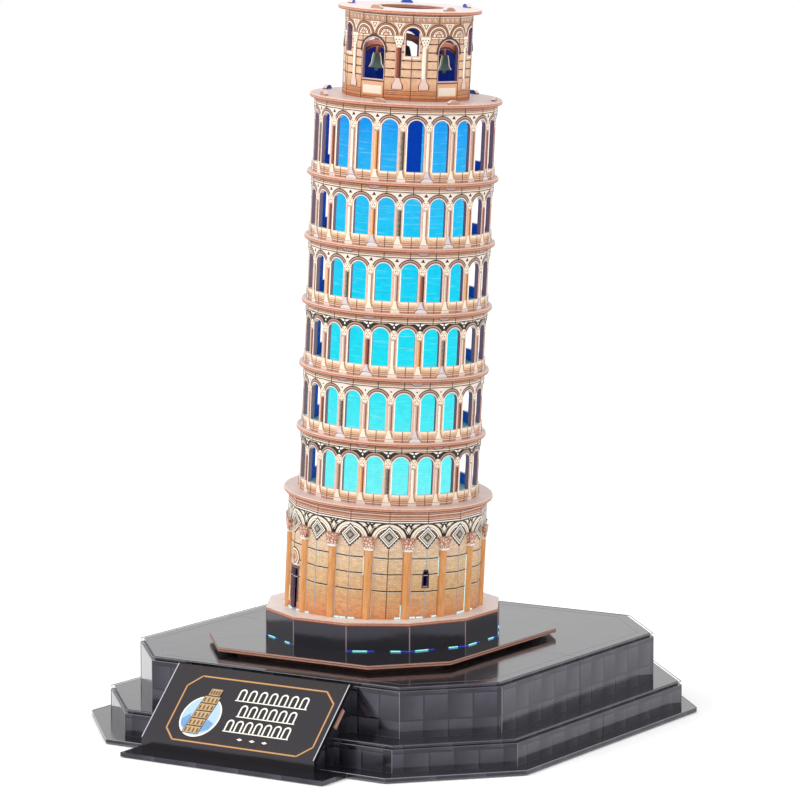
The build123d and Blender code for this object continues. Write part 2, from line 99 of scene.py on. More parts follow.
# ---------------------------------------------------------------- node graphs
class G:
    """Small helper around a material's node tree."""

    def __init__(self, name):
        self.m = bpy.data.materials.new(name)
        self.m.use_nodes = True
        self.t = self.m.node_tree
        self.t.nodes.clear()
        self.out = self.t.nodes.new("ShaderNodeOutputMaterial")
        self.b = self.t.nodes.new("ShaderNodeBsdfPrincipled")
        self.t.links.new(self.b.outputs[0], self.out.inputs[0])
        self._pos = None
        self._loc = None

    def n(self, kind, **kw):
        x = self.t.nodes.new(kind)
        for k, v in kw.items():
            setattr(x, k, v)
        return x

    def put(self, sock, v):
        if isinstance(v, bpy.types.NodeSocket):
            self.t.links.new(v, sock)
        elif isinstance(v, (tuple, list, Vector)):
            v = tuple(v)
            if len(v) == 3 and sock.type == "RGBA":
                v = v + (1.0,)
            sock.default_value = v
        else:
            sock.default_value = v

    def math(self, op, a, b=0.0, clamp=False):
        x = self.n("ShaderNodeMath", operation=op, use_clamp=clamp)
        self.put(x.inputs[0], a)
        self.put(x.inputs[1], b)
        return x.outputs[0]

    def vm(self, op, a, b=(0, 0, 0)):
        x = self.n("ShaderNodeVectorMath", operation=op)
        self.put(x.inputs[0], a)
        self.put(x.inputs[1], b)
        return x.outputs["Value"] if op in ("DOT_PRODUCT", "LENGTH") else x.outputs[0]

    def mix(self, f, a, b):
        x = self.n("ShaderNodeMix", data_type="RGBA")
        self.put(x.inputs[0], f)
        self.put(x.inputs[6], a)
        self.put(x.inputs[7], b)
        return x.outputs[2]

    def mul(self, a, b, f=1.0):
        x = self.n("ShaderNodeMix", data_type="RGBA", blend_type="MULTIPLY")
        self.put(x.inputs[0], f)
        self.put(x.inputs[6], a)
        self.put(x.inputs[7], b)
        return x.outputs[2]

    def ramp(self, f, stops, interp="LINEAR"):
        x = self.n("ShaderNodeValToRGB")
        x.color_ramp.interpolation = interp
        e = x.color_ramp.elements
        while len(e) < len(stops):
            e.new(0.5)
        for el, (p, c) in zip(e, sorted(stops, key=lambda s: s[0])):
            el.position = p
            el.color = (*c[:3], 1.0) if isinstance(c, (tuple, list)) else (c, c, c, 1.0)
        self.put(x.inputs[0], f)
        return x.outputs[0]

    def noise(self, scale, detail=3.0, rough=0.55, vec=None):
        x = self.n("ShaderNodeTexNoise")
        self.put(x.inputs["Vector"], vec if vec is not None else self.pos())
        x.inputs["Scale"].default_value = scale
        x.inputs["Detail"].default_value = detail
        x.inputs["Roughness"].default_value = rough
        return x.outputs["Fac"]

    def pos(self):
        """Position on the object in millimetres."""
        if self._pos is None:
            c = self.n("ShaderNodeTexCoord").outputs["Object"]
            self._pos = self.vm("MULTIPLY", c, (1000.0, 1000.0, 1000.0))
        return self._pos

    def local(self):
        """(x, y, h, angle in degrees, radius) in the tower's own frame."""
        if self._loc is None:
            d = self.vm("SUBTRACT", self.pos(), ORG)
            x, y, h = (self.vm("DOT_PRODUCT", d, v) for v in (XD, YD, ZD))
            a = self.math("MULTIPLY", self.math("ARCTAN2", y, x), 180.0 / math.pi)
            r = self.math("SQRT", self.math("ADD", self.math("MULTIPLY", x, x), self.math("MULTIPLY", y, y)))
            self._loc = (x, y, h, a, r)
        return self._loc

    def facing(self):
        """(normal . outward, normal . sideways, normal . up) in the tower's own frame."""
        x, y, h, a, r = self.local()
        nrm = self.n("ShaderNodeNewGeometry").outputs["True Normal"]
        nx, ny, nz = (self.vm("DOT_PRODUCT", nrm, v) for v in (XD, YD, ZD))
        out = self.math("DIVIDE", self.math("ADD", self.math("MULTIPLY", nx, x), self.math("MULTIPLY", ny, y)), r)
        side = self.math("DIVIDE", self.math("SUBTRACT", self.math("MULTIPLY", ny, x), self.math("MULTIPLY", nx, y)), r)
        return out, side, nz

    def gt(self, a, b):
        return self.math("GREATER_THAN", a, b)

    def lines(self, x, pitch, width, offset=0.0):
        """1 on a line every pitch."""
        f = self.math("FRACT", self.math("DIVIDE", self.math("ADD", x, offset), pitch))
        return self.math("LESS_THAN", f, width / pitch)

    def grain(self, col, amount=0.12, scale=0.8):
        """Colour with fine ink mottling."""
        f = self.noise(scale, 4.0, 0.65)
        k = self.ramp(f, [(0.3, 1.0 - amount), (0.7, 1.0 + amount * 0.4)])
        return self.mul(col, k)

    def bump(self, height, strength=0.2, dist=0.05):
        x = self.n("ShaderNodeBump")
        x.inputs["Strength"].default_value = strength
        x.inputs["Distance"].default_value = dist * MM
        self.put(x.inputs["Height"], height)
        self.t.links.new(x.outputs[0], self.b.inputs["Normal"])

    def end(self, col=None, rough=0.5, spec=0.5, metal=0.0, coat=0.0, emit=None, strength=0.0):
        if col is not None:
            self.put(self.b.inputs["Base Color"], col)
        self.put(self.b.inputs["Roughness"], rough)
        self.b.inputs["Specular IOR Level"].default_value = spec
        self.b.inputs["Metallic"].default_value = metal
        self.b.inputs["Coat Weight"].default_value = coat
        if emit is not None:
            self.put(self.b.inputs["Emission Color"], emit)
            self.b.inputs["Emission Strength"].default_value = strength
        return self.m


_inks = {}


def ink(name, rgb, amount=0.10, rough=0.42, spec=0.35):
    """Printed ink with slight mottling, satin laminate."""
    if name not in _inks:
        g = G("ink_" + name)
        c = g.grain(lin(*rgb), amount, 1.6)
        f = g.noise(2.5, 2.0)
        r = g.ramp(f, [(0.2, rough - 0.06), (0.8, rough + 0.08)])
        g.bump(g.noise(6.0, 2.0), 0.12, 0.02)
        _inks[name] = g.end(c, r, spec)
    return _inks[name]


def glow(name, rgb, strength=1.0):
    """Light seen through a slit: bright, a little uneven."""
    if name not in _inks:
        g = G("glow_" + name)
        c = g.grain(lin(*rgb), 0.25, 1.2)
        _inks[name] = g.end((0.02, 0.03, 0.04), 0.5, 0.2, emit=c, strength=strength)
    return _inks[name]


# ---------------------------------------------------------------- thin prints
class Print:
    """Closed thin slabs of ink, laid on a flat panel by a map (u, v, d) -> point in mm."""

    def __init__(self, name):
        self.name, self.v, self.f, self.mi, self.mats = name, [], [], [], []

    def mat(self, m):
        if m not in self.mats:
            self.mats.append(m)
        return self.mats.index(m)

    def poly(self, P, pts, m, d=0.04, d0=-0.06):
        area = sum(pts[i][0] * pts[(i + 1) % len(pts)][1] - pts[(i + 1) % len(pts)][0] * pts[i][1] for i in range(len(pts)))
        if area < 0:
            pts = pts[::-1]
        b, n = len(self.v), len(pts)
        self.v += [P(u, v, d) for u, v in pts] + [P(u, v, d0) for u, v in pts]
        self.f.append([b + i for i in range(n)])
        self.f.append([b + n + i for i in reversed(range(n))])
        for i in range(n):
            j = (i + 1) % n
            self.f.append([b + n + i, b + n + j, b + j, b + i])
        self.mi += [self.mat(m)] * (n + 2)

    def rect(self, P, u0, u1, v0, v1, m, d=0.04, d0=-0.06):
        self.poly(P, [(u0, v0), (u1, v0), (u1, v1), (u0, v1)], m, d, d0)

    def line(self, P, pts, w, m, d=0.05, d0=-0.06, close=False):
        """A line of width w along points, one closed slab per run."""
        n = len(pts)
        for i in range(n if close else n - 1):
            (x0, y0), (x1, y1) = pts[i], pts[(i + 1) % n]
            L = math.hypot(x1 - x0, y1 - y0)
            if L < 1e-6:
                continue
            dx, dy = (x1 - x0) / L, (y1 - y0) / L
            e = w * 0.35
            ax, ay, bx, by = x0 - dx * e, y0 - dy * e, x1 + dx * e, y1 + dy * e
            nx, ny = -dy * w / 2, dx * w / 2
            self.poly(P, [(ax - nx, ay - ny), (bx - nx, by - ny), (bx + nx, by + ny), (ax + nx, ay + ny)], m, d, d0)

    def arc(self, P, cx, cy, r0, r1, a0, a1, m, d=0.04, d0=-0.06, n=12):
        p = [(cx + r1 * math.cos(math.radians(a0 + (a1 - a0) * i / n)), cy + r1 * math.sin(math.radians(a0 + (a1 - a0) * i / n))) for i in range(n + 1)]
        q = [(cx + r0 * math.cos(math.radians(a0 + (a1 - a0) * i / n)), cy + r0 * math.sin(math.radians(a0 + (a1 - a0) * i / n))) for i in range(n + 1)]
        self.poly(P, p + q[::-1], m, d, d0)

    def done(self, body="model"):
        me = bpy.data.meshes.new(self.name)
        me.from_pydata([tuple(x * MM for x in v) for v in self.v], [], self.f)
        for m in self.mats:
            me.materials.append(m)
        me.polygons.foreach_set("material_index", self.mi)
        me.update()
        o = bpy.data.objects.new(self.name, me)
        sc.collection.objects.link(o)
        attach(o, body)
        return o


def panel(a, ap):
    """Map for a flat tower panel facing direction a, outer face at apothem ap."""
    return lambda u, v, d: tower(a, ap + d, v, u)


def disc(z):
    """Map for a horizontal face in the world frame at height z."""
    return lambda u, v, d: Vector((u, v, z + d))


def mix3(a, b, f):
    return tuple(x + (y - x) * f for x, y in zip(a, b))


# ---------------------------------------------------------------- CAD materials
def stone(name, zb, zt, stops, brick=None):
    """Printed board of one storey: colours up its height, fine courses, the pale foam at the reveals painted in shade
    as violet on one side and a lighter mauve on the other, and the inside face painted as deep blue shade.
    """
    g = G(name)
    x, y, h, a, r = g.local()
    f = g.math("DIVIDE", g.math("SUBTRACT", h, zb), zt - zb, True)
    c = g.ramp(f, [(p, lin(*k)) for p, k in stops])
    u = g.math("MULTIPLY", a, math.pi / 180.0 * 38.0)
    comb = g.n("ShaderNodeCombineXYZ")
    g.put(comb.inputs[0], u)
    g.put(comb.inputs[1], h)
    vec = comb.outputs[0]
    if brick:
        bt = g.n("ShaderNodeTexBrick")
        g.put(bt.inputs["Vector"], vec)
        g.put(bt.inputs["Color1"], (1.0, 1.0, 1.0))
        g.put(bt.inputs["Color2"], (0.80, 0.74, 0.68))
        g.put(bt.inputs["Mortar"], brick[3])
        bt.inputs["Scale"].default_value = 1.0
        bt.inputs["Brick Width"].default_value = brick[0]
        bt.inputs["Row Height"].default_value = brick[1]
        bt.inputs["Mortar Size"].default_value = brick[2]
        bt.inputs["Mortar Smooth"].default_value = 0.4
        c = g.mul(c, bt.outputs["Color"], brick[4])
    c = g.mul(c, g.ramp(g.noise(0.55, 4.0, 0.6, vec), [(0.25, (0.80, 0.76, 0.72)), (0.6, (1.06, 1.03, 1.0))]))
    c = g.mul(c, g.ramp(g.noise(3.2, 3.0, 0.6, vec), [(0.3, 0.86), (0.7, 1.08)]))
    out, side, up = g.facing()
    white = g.grain(lin(236, 214, 206), 0.10, 1.2)
    # painted shade on the foam reveals: violet on one side, a lighter mauve on the other, in place of the pale foam
    violet = g.grain(lin(120, 92, 112), 0.15, 0.9)
    # painted blue-tinted shade for the inside face of the wall
    deep = g.mix(g.ramp(g.noise(0.5), [(0.35, 0.0), (0.65, 1.0)]), lin(20, 62, 158), lin(34, 84, 186))
    cut = g.mix(g.gt(side, 0.0), violet, g.grain(lin(150, 122, 132), 0.12, 1.0))
    isout = g.gt(out, 0.80)
    isin = g.math("LESS_THAN", out, -0.80)
    c = g.mix(isin, g.mix(isout, cut, c), deep)
    c = g.mix(g.gt(g.math("ABSOLUTE", up), 0.6), c, white)
    g.bump(g.noise(5.0, 3.0, 0.6), 0.15, 0.03)
    rough = g.ramp(g.noise(1.1), [(0.3, 0.40), (0.7, 0.52)])
    return g.end(c, rough, 0.35)


def gallery(name, top, leaning=True, z_top=None, thick=T, top_rgb=(214, 196, 190), under=(176, 150, 140)):
    """Ring of board: pale printed top, copper-brown rounded rim with lighter printed lines, a painted highlight along
    its top edge and painted shade darkening it towards the bottom.
    """
    g = G(name)
    if leaning:
        x, y, h, a, r = g.local()
        nrm = g.n("ShaderNodeNewGeometry").outputs["True Normal"]
        up = g.vm("DOT_PRODUCT", nrm, ZD)
        rel = g.math("SUBTRACT", top, h)
    else:
        sep = g.n("ShaderNodeSeparateXYZ")
        g.put(sep.inputs[0], g.pos())
        nrm = g.n("ShaderNodeNewGeometry").outputs["True Normal"]
        up = g.vm("DOT_PRODUCT", nrm, (0, 0, 1))
        rel = g.math("SUBTRACT", z_top, sep.outputs[2])
    f = g.math("DIVIDE", rel, thick, True)
    # rim colours: printed copper and peach lines, plus a painted highlight at the top edge and painted shade towards
    # the bottom
    rim = g.ramp(f, [(0.0, lin(238, 208, 184)), (0.16, lin(232, 192, 164)), (0.28, lin(178, 104, 76)), (0.44, lin(184, 112, 84)),
                     (0.54, lin(214, 158, 132)), (0.64, lin(196, 130, 104)), (0.78, lin(136, 76, 56)), (1.0, lin(84, 46, 36))])
    rim = g.mul(rim, g.ramp(g.noise(0.9, 3.0), [(0.3, 0.84), (0.7, 1.10)]))
    topc = g.mul(g.grain(lin(*top_rgb), 0.08, 1.0), g.ramp(g.noise(0.12, 2.0), [(0.3, 0.94), (0.7, 1.04)]))
    botc = g.grain(lin(*under), 0.10, 1.0)
    c = g.mix(g.gt(up, 0.80), g.mix(g.math("LESS_THAN", up, -0.8), rim, botc), topc)
    g.bump(g.noise(4.0, 3.0), 0.12, 0.03)
    return g.end(c, g.ramp(g.noise(0.8), [(0.3, 0.34), (0.7, 0.46)]), 0.4)


def black_gloss(name, weave=True, rgb=(24, 23, 27)):
    """Gloss-laminated black board with a faint woven square pattern in the print."""
    g = G(name)
    p = g.pos()
    geo = g.n("ShaderNodeNewGeometry").outputs["True Normal"]
    tang = g.vm("CROSS_PRODUCT", (0, 0, 1), geo)
    u = g.vm("DOT_PRODUCT", p, tang)
    sep = g.n("ShaderNodeSeparateXYZ")
    g.put(sep.inputs[0], p)
    z = sep.outputs[2]
    nz = g.math("ABSOLUTE", g.vm("DOT_PRODUCT", geo, (0, 0, 1)))
    wall = g.math("LESS_THAN", nz, 0.9)
    base = lin(*rgb)
    c = base
    rough = 0.09
    if weave:
        cell = 10.2
        iu = g.math("FLOOR", g.math("DIVIDE", u, cell))
        iz = g.math("FLOOR", g.math("DIVIDE", g.math("ADD", z, 0.6), cell))
        odd = g.math("ABSOLUTE", g.math("MODULO", g.math("ADD", iu, iz), 2.0))
        fu = g.math("FRACT", g.math("DIVIDE", u, cell))
        fz = g.math("FRACT", g.math("DIVIDE", g.math("ADD", z, 0.6), cell))
        # each square is shaded across or along, like woven strips
        shade = g.mix(odd, fu, fz)
        edge = g.math("MINIMUM", g.math("MINIMUM", fu, g.math("SUBTRACT", 1.0, fu)), g.math("MINIMUM", fz, g.math("SUBTRACT", 1.0, fz)))
        lum = g.ramp(shade, [(0.0, lin(18, 17, 21)), (0.5, lin(42, 41, 48)), (1.0, lin(60, 59, 68))])
        lum = g.mix(g.math("LESS_THAN", edge, 0.035), lum, lin(12, 12, 15))
        c = g.mix(wall, base, lum)
    c = g.mul(c, g.ramp(g.noise(0.25, 3.0), [(0.3, 0.85), (0.7, 1.12)]))
    rr = g.ramp(g.noise(0.05, 3.0), [(0.3, rough), (0.7, rough + 0.05)])
    g.bump(g.noise(0.09, 2.0), 0.10, 0.6)
    g.b.inputs["IOR"].default_value = 1.62
    g.b.inputs["Specular Tint"].default_value = (*lin(236, 232, 250), 1.0)
    return g.end(c, rr, 0.5)


def raw_board(name, rgb=(196, 150, 134)):
    g = G(name)
    c = g.grain(lin(*rgb), 0.16, 1.4)
    c = g.mul(c, g.ramp(g.noise(0.3), [(0.3, 0.88), (0.7, 1.06)]))
    g.bump(g.noise(3.0, 4.0, 0.7), 0.35, 0.08)
    return g.end(c, 0.78, 0.2)


def plastic(name, rgb, rough=0.45, tex=2.2, amount=0.12, strength=0.3, metal=0.0, spec=0.5, dist=0.05):
    g = G(name)
    c = g.mul(g.grain(lin(*rgb), amount, tex), g.ramp(g.noise(0.15), [(0.3, 0.92), (0.7, 1.06)]))
    g.bump(g.noise(tex * 1.6, 3.0), strength, dist)
    return g.end(c, g.ramp(g.noise(tex * 0.4), [(0.3, max(0.05, rough - 0.06)), (0.7, min(1.0, rough + 0.08))]), spec, metal)


def metal(name, rgb, rough=0.32):
    g = G(name)
    p = g.pos()
    st = g.vm("MULTIPLY", p, (6.0, 0.5, 6.0))
    f = g.noise(1.0, 3.0, 0.6, st)
    c = g.mul(lin(*rgb), g.ramp(f, [(0.3, 0.82), (0.7, 1.06)]))
    g.bump(f, 0.12, 0.02)
    return g.end(c, g.ramp(f, [(0.3, rough - 0.08), (0.7, rough + 0.08)]), 0.5, 1.0)


def assign(node, m):
    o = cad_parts[node]
    if not o.material_slots:
        o.data.materials.append(m)
    for s in o.material_slots:
        s.material = m


BLACK = black_gloss("black_board_print")
BLACK_PLAIN = black_gloss("black_board_plain", False)
RAW = raw_board("raw_board_cut")
for nm in ("base_plate", "lower_tier_front", "lower_tier_back", "upper_tier_front", "upper_tier_back",
           "label_panel", "label_cheek_left", "label_cheek_right"):
    assign(nm, BLACK)
assign("label_panel", black_gloss("label_black", False, (22, 17, 14)))
assign("plinth_wall", black_gloss("plinth_black", False, (13, 12, 15)))
for nm in ("rib_left", "rib_right", "label_strap", "foot_spacer"):
    assign(nm, RAW)


def foot_material():
    """Gloss black face, copper-brown raw edge with two pressed lines."""
    g = G("foot_board_edge")
    sep = g.n("ShaderNodeSeparateXYZ")
    g.put(sep.inputs[0], g.pos())
    nz = g.vm("DOT_PRODUCT", g.n("ShaderNodeNewGeometry").outputs["True Normal"], (0, 0, 1))
    f = g.math("DIVIDE", g.math("SUBTRACT", Z_FOOT, sep.outputs[2]), T, True)
    rim = g.ramp(f, [(0.0, lin(60, 40, 36)), (0.14, lin(186, 138, 120)), (0.32, lin(208, 160, 140)), (0.44, lin(110, 66, 52)),
                     (0.58, lin(96, 56, 44)), (0.70, lin(196, 142, 120)), (0.88, lin(176, 120, 100)), (1.0, lin(50, 34, 30))])
    rim = g.mul(rim, g.ramp(g.noise(0.9, 3.0), [(0.3, 0.84), (0.7, 1.10)]))
    black = g.mul(lin(24, 23, 27), g.ramp(g.noise(0.25, 3.0), [(0.3, 0.85), (0.7, 1.12)]))
    face = g.gt(g.math("ABSOLUTE", nz), 0.7)
    c = g.mix(face, rim, black)
    rr = g.mix(face, (0.42, 0.42, 0.42), g.ramp(g.noise(0.05, 3.0), [(0.3, 0.08), (0.7, 0.13)]))
    g.bump(g.noise(0.09, 2.0), 0.10, 0.6)
    g.b.inputs["IOR"].default_value = 1.62
    return g.end(c, rr, 0.5)


assign("foot_plate", foot_material())
assign("plinth_cap", gallery("plinth_cap_board", 0, False, Z_CAP, T, (226, 214, 210)))

STOPS_G = [(0.0, (214, 140, 88)), (0.12, (222, 162, 112)), (0.28, (226, 186, 138)), (0.5, (232, 204, 166)), (0.75, (236, 214, 192)),
           (0.87, (216, 186, 164)), (0.88, (206, 150, 126)), (1.0, (214, 164, 140))]
assign("ground_wall", stone("printed_ground", 0.0, RING_H[0] - T, STOPS_G, (1.9, 0.74, 0.09, (0.62, 0.48, 0.38), 0.75)))

for k in range(2, 8):
    zb, zt = RING_H[k - 2], RING_H[k - 1] - T
    stops = [(0.0, (196, 140, 110)), (0.03, (214, 164, 132)), (0.10, (224, 184, 150)), (0.16, (240, 214, 182)), (0.24, (230, 198, 176)),
             (0.60, (226, 194, 180)), (0.86, (214, 184, 164)), (0.92, (216, 184, 162)), (1.0, (200, 158, 138))]
    assign("loggia_wall_%d" % k, stone("printed_loggia_%d" % k, zb, zt, stops, (3.4, 1.1, 0.06, (0.8, 0.66, 0.56), 0.4)))
STOPS_B = [(0.0, (196, 120, 70)), (0.10, (214, 150, 104)), (0.16, (224, 176, 138)), (0.30, (226, 190, 158)), (0.6, (222, 186, 158)),
           (0.82, (206, 168, 144)), (1.0, (200, 158, 134))]
assign("belfry_wall", stone("printed_belfry", RING_H[6], BEL_H - T, STOPS_B, (4.6, 1.7, 0.05, (0.85, 0.72, 0.6), 0.35)))
for k in range(1, 8):
    assign("gallery_ring_%d" % k, gallery("gallery_board_%d" % k, RING_H[k - 1], top_rgb=(214, 192, 186)))
assign("belfry_ring", gallery("belfry_ring_board", BEL_H, top_rgb=(236, 222, 220)))


def column_material():
    """Half-round printed strip: warm orange-brown with long streaks, darker carved capital."""
    g = G("column_print")
    x, y, h, a, r = g.local()
    comb = g.n("ShaderNodeCombineXYZ")
    g.put(comb.inputs[0], g.math("MULTIPLY", x, 2.2))
    g.put(comb.inputs[1], g.math("MULTIPLY", y, 2.2))
    g.put(comb.inputs[2], g.math("MULTIPLY", h, 0.16))
    streak = g.noise(1.0, 4.0, 0.6, comb.outputs[0])
    c = g.ramp(streak, [(0.25, lin(186, 116, 58)), (0.5, lin(214, 148, 86)), (0.75, lin(228, 172, 114))])
    capm = g.gt(h, 30.7)
    carve = g.n("ShaderNodeTexVoronoi", feature="DISTANCE_TO_EDGE")
    g.put(carve.inputs["Vector"], g.pos())
    carve.inputs["Scale"].default_value = 0.95
    cc = g.ramp(carve.outputs["Distance"], [(0.0, lin(120, 62, 44)), (0.07, lin(176, 112, 86)), (0.16, lin(226, 196, 174)), (0.4, lin(244, 228, 212))])
    cc = g.mix(g.math("MULTIPLY", g.gt(h, 33.2), g.ramp(g.noise(1.1, 2.0), [(0.42, 0.0), (0.6, 0.75)])), cc, lin(168, 104, 80))
    cc = g.mix(g.math("MULTIPLY", g.gt(31.5, h), 1.0), cc, lin(236, 232, 230))
    g.bump(g.math("MULTIPLY", carve.outputs["Distance"], capm), 0.5, 0.25)
    return g.end(g.mix(capm, c, cc), 0.45, 0.4)


assign("ground_columns", column_material())


def core_material():
    """Thin sheet lit from below: cyan low down, deeper blue towards the top, with faint brick courses."""
    g = G("lit_core")
    x, y, h, a, r = g.local()
    f = g.math("DIVIDE", g.math("SUBTRACT", h, RING_H[0]), RING_H[6] - RING_H[0], True)
    c = g.ramp(f, [(0.0, lin(120, 250, 250)), (0.12, lin(96, 246, 248)), (0.30, lin(36, 234, 246)), (0.48, lin(10, 220, 246)),
                   (0.64, lin(16, 206, 248)), (0.80, lin(44, 190, 248)), (0.93, lin(22, 164, 246)), (1.0, lin(14, 130, 232))])
    comb = g.n("ShaderNodeCombineXYZ")
    g.put(comb.inputs[0], g.math("MULTIPLY", a, math.pi / 180.0 * 28.0))
    g.put(comb.inputs[1], h)
    bt = g.n("ShaderNodeTexBrick")
    g.put(bt.inputs["Vector"], comb.outputs[0])
    g.put(bt.inputs["Color1"], (1.0, 1.0, 1.0))
    g.put(bt.inputs["Color2"], (0.90, 0.97, 1.0))
    g.put(bt.inputs["Mortar"], (0.72, 0.90, 0.96))
    bt.inputs["Scale"].default_value = 1.0
    bt.inputs["Brick Width"].default_value = 3.0
    bt.inputs["Row Height"].default_value = 1.15
    bt.inputs["Mortar Size"].default_value = 0.08
    c = g.mul(c, bt.outputs["Color"], 0.7)
    c = g.mul(c, g.ramp(g.noise(0.35, 3.0, 0.6, comb.outputs[0]), [(0.3, 0.90), (0.7, 1.05)]))
    st = g.n("ShaderNodeCombineXYZ")
    g.put(st.inputs[0], g.math("MULTIPLY", a, 0.035))
    g.put(st.inputs[1], g.math("MULTIPLY", h, 1.25))
    c = g.mix(g.ramp(g.noise(1.0, 2.0, 0.5, st.outputs[0]), [(0.56, 0.0), (0.78, 0.42)]), c, lin(176, 236, 250))
    out, side, up = g.facing()
    inner = g.math("LESS_THAN", out, -0.3)
    c = g.mix(inner, c, g.grain(lin(8, 62, 172), 0.15, 0.5))
    return g.end((0.01, 0.02, 0.03), 0.6, 0.1, emit=c, strength=1.0)


assign("core_tube", core_material())


def bell_material():
    """Die-cut card: red-brown beam over a dark green bell."""
    g = G("bell_print")
    x, y, h, a, r = g.local()
    f = g.math("DIVIDE", g.math("SUBTRACT", h, RING_H[6] + 8.2 + 3.2), 12.8, True)
    c = g.ramp(f, [(0.0, lin(26, 40, 40)), (0.12, lin(56, 78, 76)), (0.40, lin(22, 48, 44)), (0.53, lin(30, 40, 34)), (0.58, lin(96, 46, 30)),
                   (0.72, lin(150, 82, 60)), (0.86, lin(186, 116, 92)), (1.0, lin(150, 92, 82))])
    c = g.mul(c, g.ramp(g.noise(1.0, 4.0), [(0.3, 0.8), (0.7, 1.15)]))
    g.bump(g.noise(2.0), 0.2, 0.05)
    return g.end(c, 0.4, 0.4)


assign("bell_cards", bell_material())
for nm in ("light_housing_lower", "light_housing_upper"):
    assign(nm, plastic("housing_black", (38, 38, 41), 0.5, 3.0, 0.16, 0.4))
assign("battery_door", plastic("door_black", (44, 44, 47), 0.48, 3.0, 0.16, 0.4))
for nm in ("housing_screws", "door_screw"):
    assign(nm, metal("screw_zinc", (176, 176, 180)))
assign("circuit_board", plastic("laminate_green", (26, 92, 60), 0.4, 1.2, 0.3, 0.2))
g = G("emitter_glow")
assign("light_emitters", g.end(lin(180, 220, 240), 0.25, 0.5, emit=g.grain(lin(120, 230, 255), 0.2, 2.0), strength=1.6))
g = G("diffuser_frost")
assign("light_diffuser", g.end(g.grain(lin(210, 230, 236), 0.08, 1.5), 0.6, 0.4, emit=g.grain(lin(90, 200, 240), 0.2, 0.6), strength=0.5))
assign("battery_cells", plastic("cell_jacket_blue", (44, 62, 96), 0.3, 0.8, 0.14, 0.1))
assign("battery_contacts", metal("contact_nickel", (196, 190, 178), 0.28))
assign("switch_body", plastic("switch_black", (30, 30, 32), 0.5, 2.5))
assign("switch_slider", plastic("slider_grey", (196, 196, 198), 0.42, 2.5, 0.08))

# ---------------------------------------------------------------- printed ink
CREAM = ink("cream", (240, 226, 206))
IVORY = ink("ivory", (250, 244, 232), 0.06)
PINKISH = ink("pinkish", (232, 202, 190))
PEACH = ink("peach", (222, 172, 136))
DARK = ink("dark", (42, 28, 22), 0.2)
BROWN = ink("brown", (112, 72, 52), 0.16)
TAN = ink("tan", (178, 126, 92), 0.14)
MAUVE = ink("mauve", (142, 112, 104), 0.16)
ROSE = ink("rose", (198, 138, 118), 0.12)
TERRA = ink("terra", (172, 100, 74), 0.14)
ORANGE = ink("orange", (216, 146, 88), 0.14)
RED = ink("redbrown", (120, 56, 40), 0.18)
REDL = ink("redlight", (178, 104, 78), 0.16)
GREY = ink("greystone", (112, 100, 90), 0.45)
GREYD = ink("greystone_dark", (70, 58, 52), 0.4)
GREYL = ink("greystone_light", (168, 156, 140), 0.35)
TEAL = ink("teal", (150, 178, 182), 0.12)
VIOLET = ink("violet", (60, 42, 62), 0.2)
SILVER = ink("silver", (190, 190, 198), 0.08, 0.3, 0.5)
SILVERD = ink("silver_dark", (120, 120, 128), 0.10, 0.3, 0.5)
GOLD = ink("gold", (206, 154, 92), 0.16, 0.36, 0.5)
GOLDD = ink("gold_dark", (140, 88, 48), 0.16, 0.36, 0.5)
SKY = ink("sky", (178, 206, 228), 0.14)
SKYD = ink("sky_deep", (112, 160, 206), 0.16)
BUFF = ink("buff", (196, 164, 116), 0.18)
TABW = ink("tab_white", (226, 218, 214), 0.10)
CREASE = ink("crease", (176, 158, 156), 0.14)
LINEG = ink("line_grey", (92, 90, 98), 0.12, 0.3, 0.5)
SPAN = ink("spandrel", (236, 218, 206), 0.08)
SAGE = ink("sage", (176, 154, 132), 0.14)
MAUVED = ink("mauve_deep", (146, 100, 96), 0.16)
PLUM = ink("plum", (122, 70, 76), 0.16)
LILAC = ink("lilac", (186, 160, 158), 0.16)
RIMP = ink("rim_pink", (226, 190, 178), 0.12)
CAPC = ink("capital", (244, 224, 200), 0.12)
BASEL = ink("base_lilac", (212, 198, 204), 0.12)
CYAN = glow("cyan", (150, 246, 250), 1.25)
BLUE = glow("blue", (30, 80, 230), 1.0)
LEAK = glow("leak", (206, 250, 252), 1.15)

SHAFTS = {  # light side, middle, dark side
    "C": (IVORY, CREAM, ink("c3", (170, 132, 108), 0.14)), "P": (CREAM, ink("p2", (206, 164, 148), 0.12), ink("p3", (138, 96, 86), 0.14)), "O": (ink("o1", (240, 196, 136)), ORANGE, ink("o3", (128, 70, 40))),
    "R": (REDL, ink("r2", (128, 66, 50), 0.18), ink("r3", (66, 30, 26), 0.2)), "G": (GREYL, GREY, GREYD),
    "B": (ink("b1", (206, 170, 152)), ink("b2", (164, 122, 106), 0.14), ink("b3", (112, 76, 66), 0.14))}
rng = random.Random(7)
KINDS = {2: "RPBOGCPRC", 3: "PRGPPPCRG", 4: "RBPRCOGPB", 5: "POGCPRPOC", 6: "BRCOGCPOR", 7: "GRCOGCPBR"}


def shaft_kind(k, j):
    """Columns j = -4..4 are the front ones, the rest repeat in a shuffled order."""
    row = KINDS[k]
    if -4 <= j <= 4:
        return row[j + 4]
    return row[(j * 5 + k * 3) % 9]


def arc_pts(cx, cy, r, a0, a1, n=10):
    return [(cx + r * math.cos(math.radians(a0 + (a1 - a0) * i / n)), cy + r * math.sin(math.radians(a0 + (a1 - a0) * i / n))) for i in range(n + 1)]


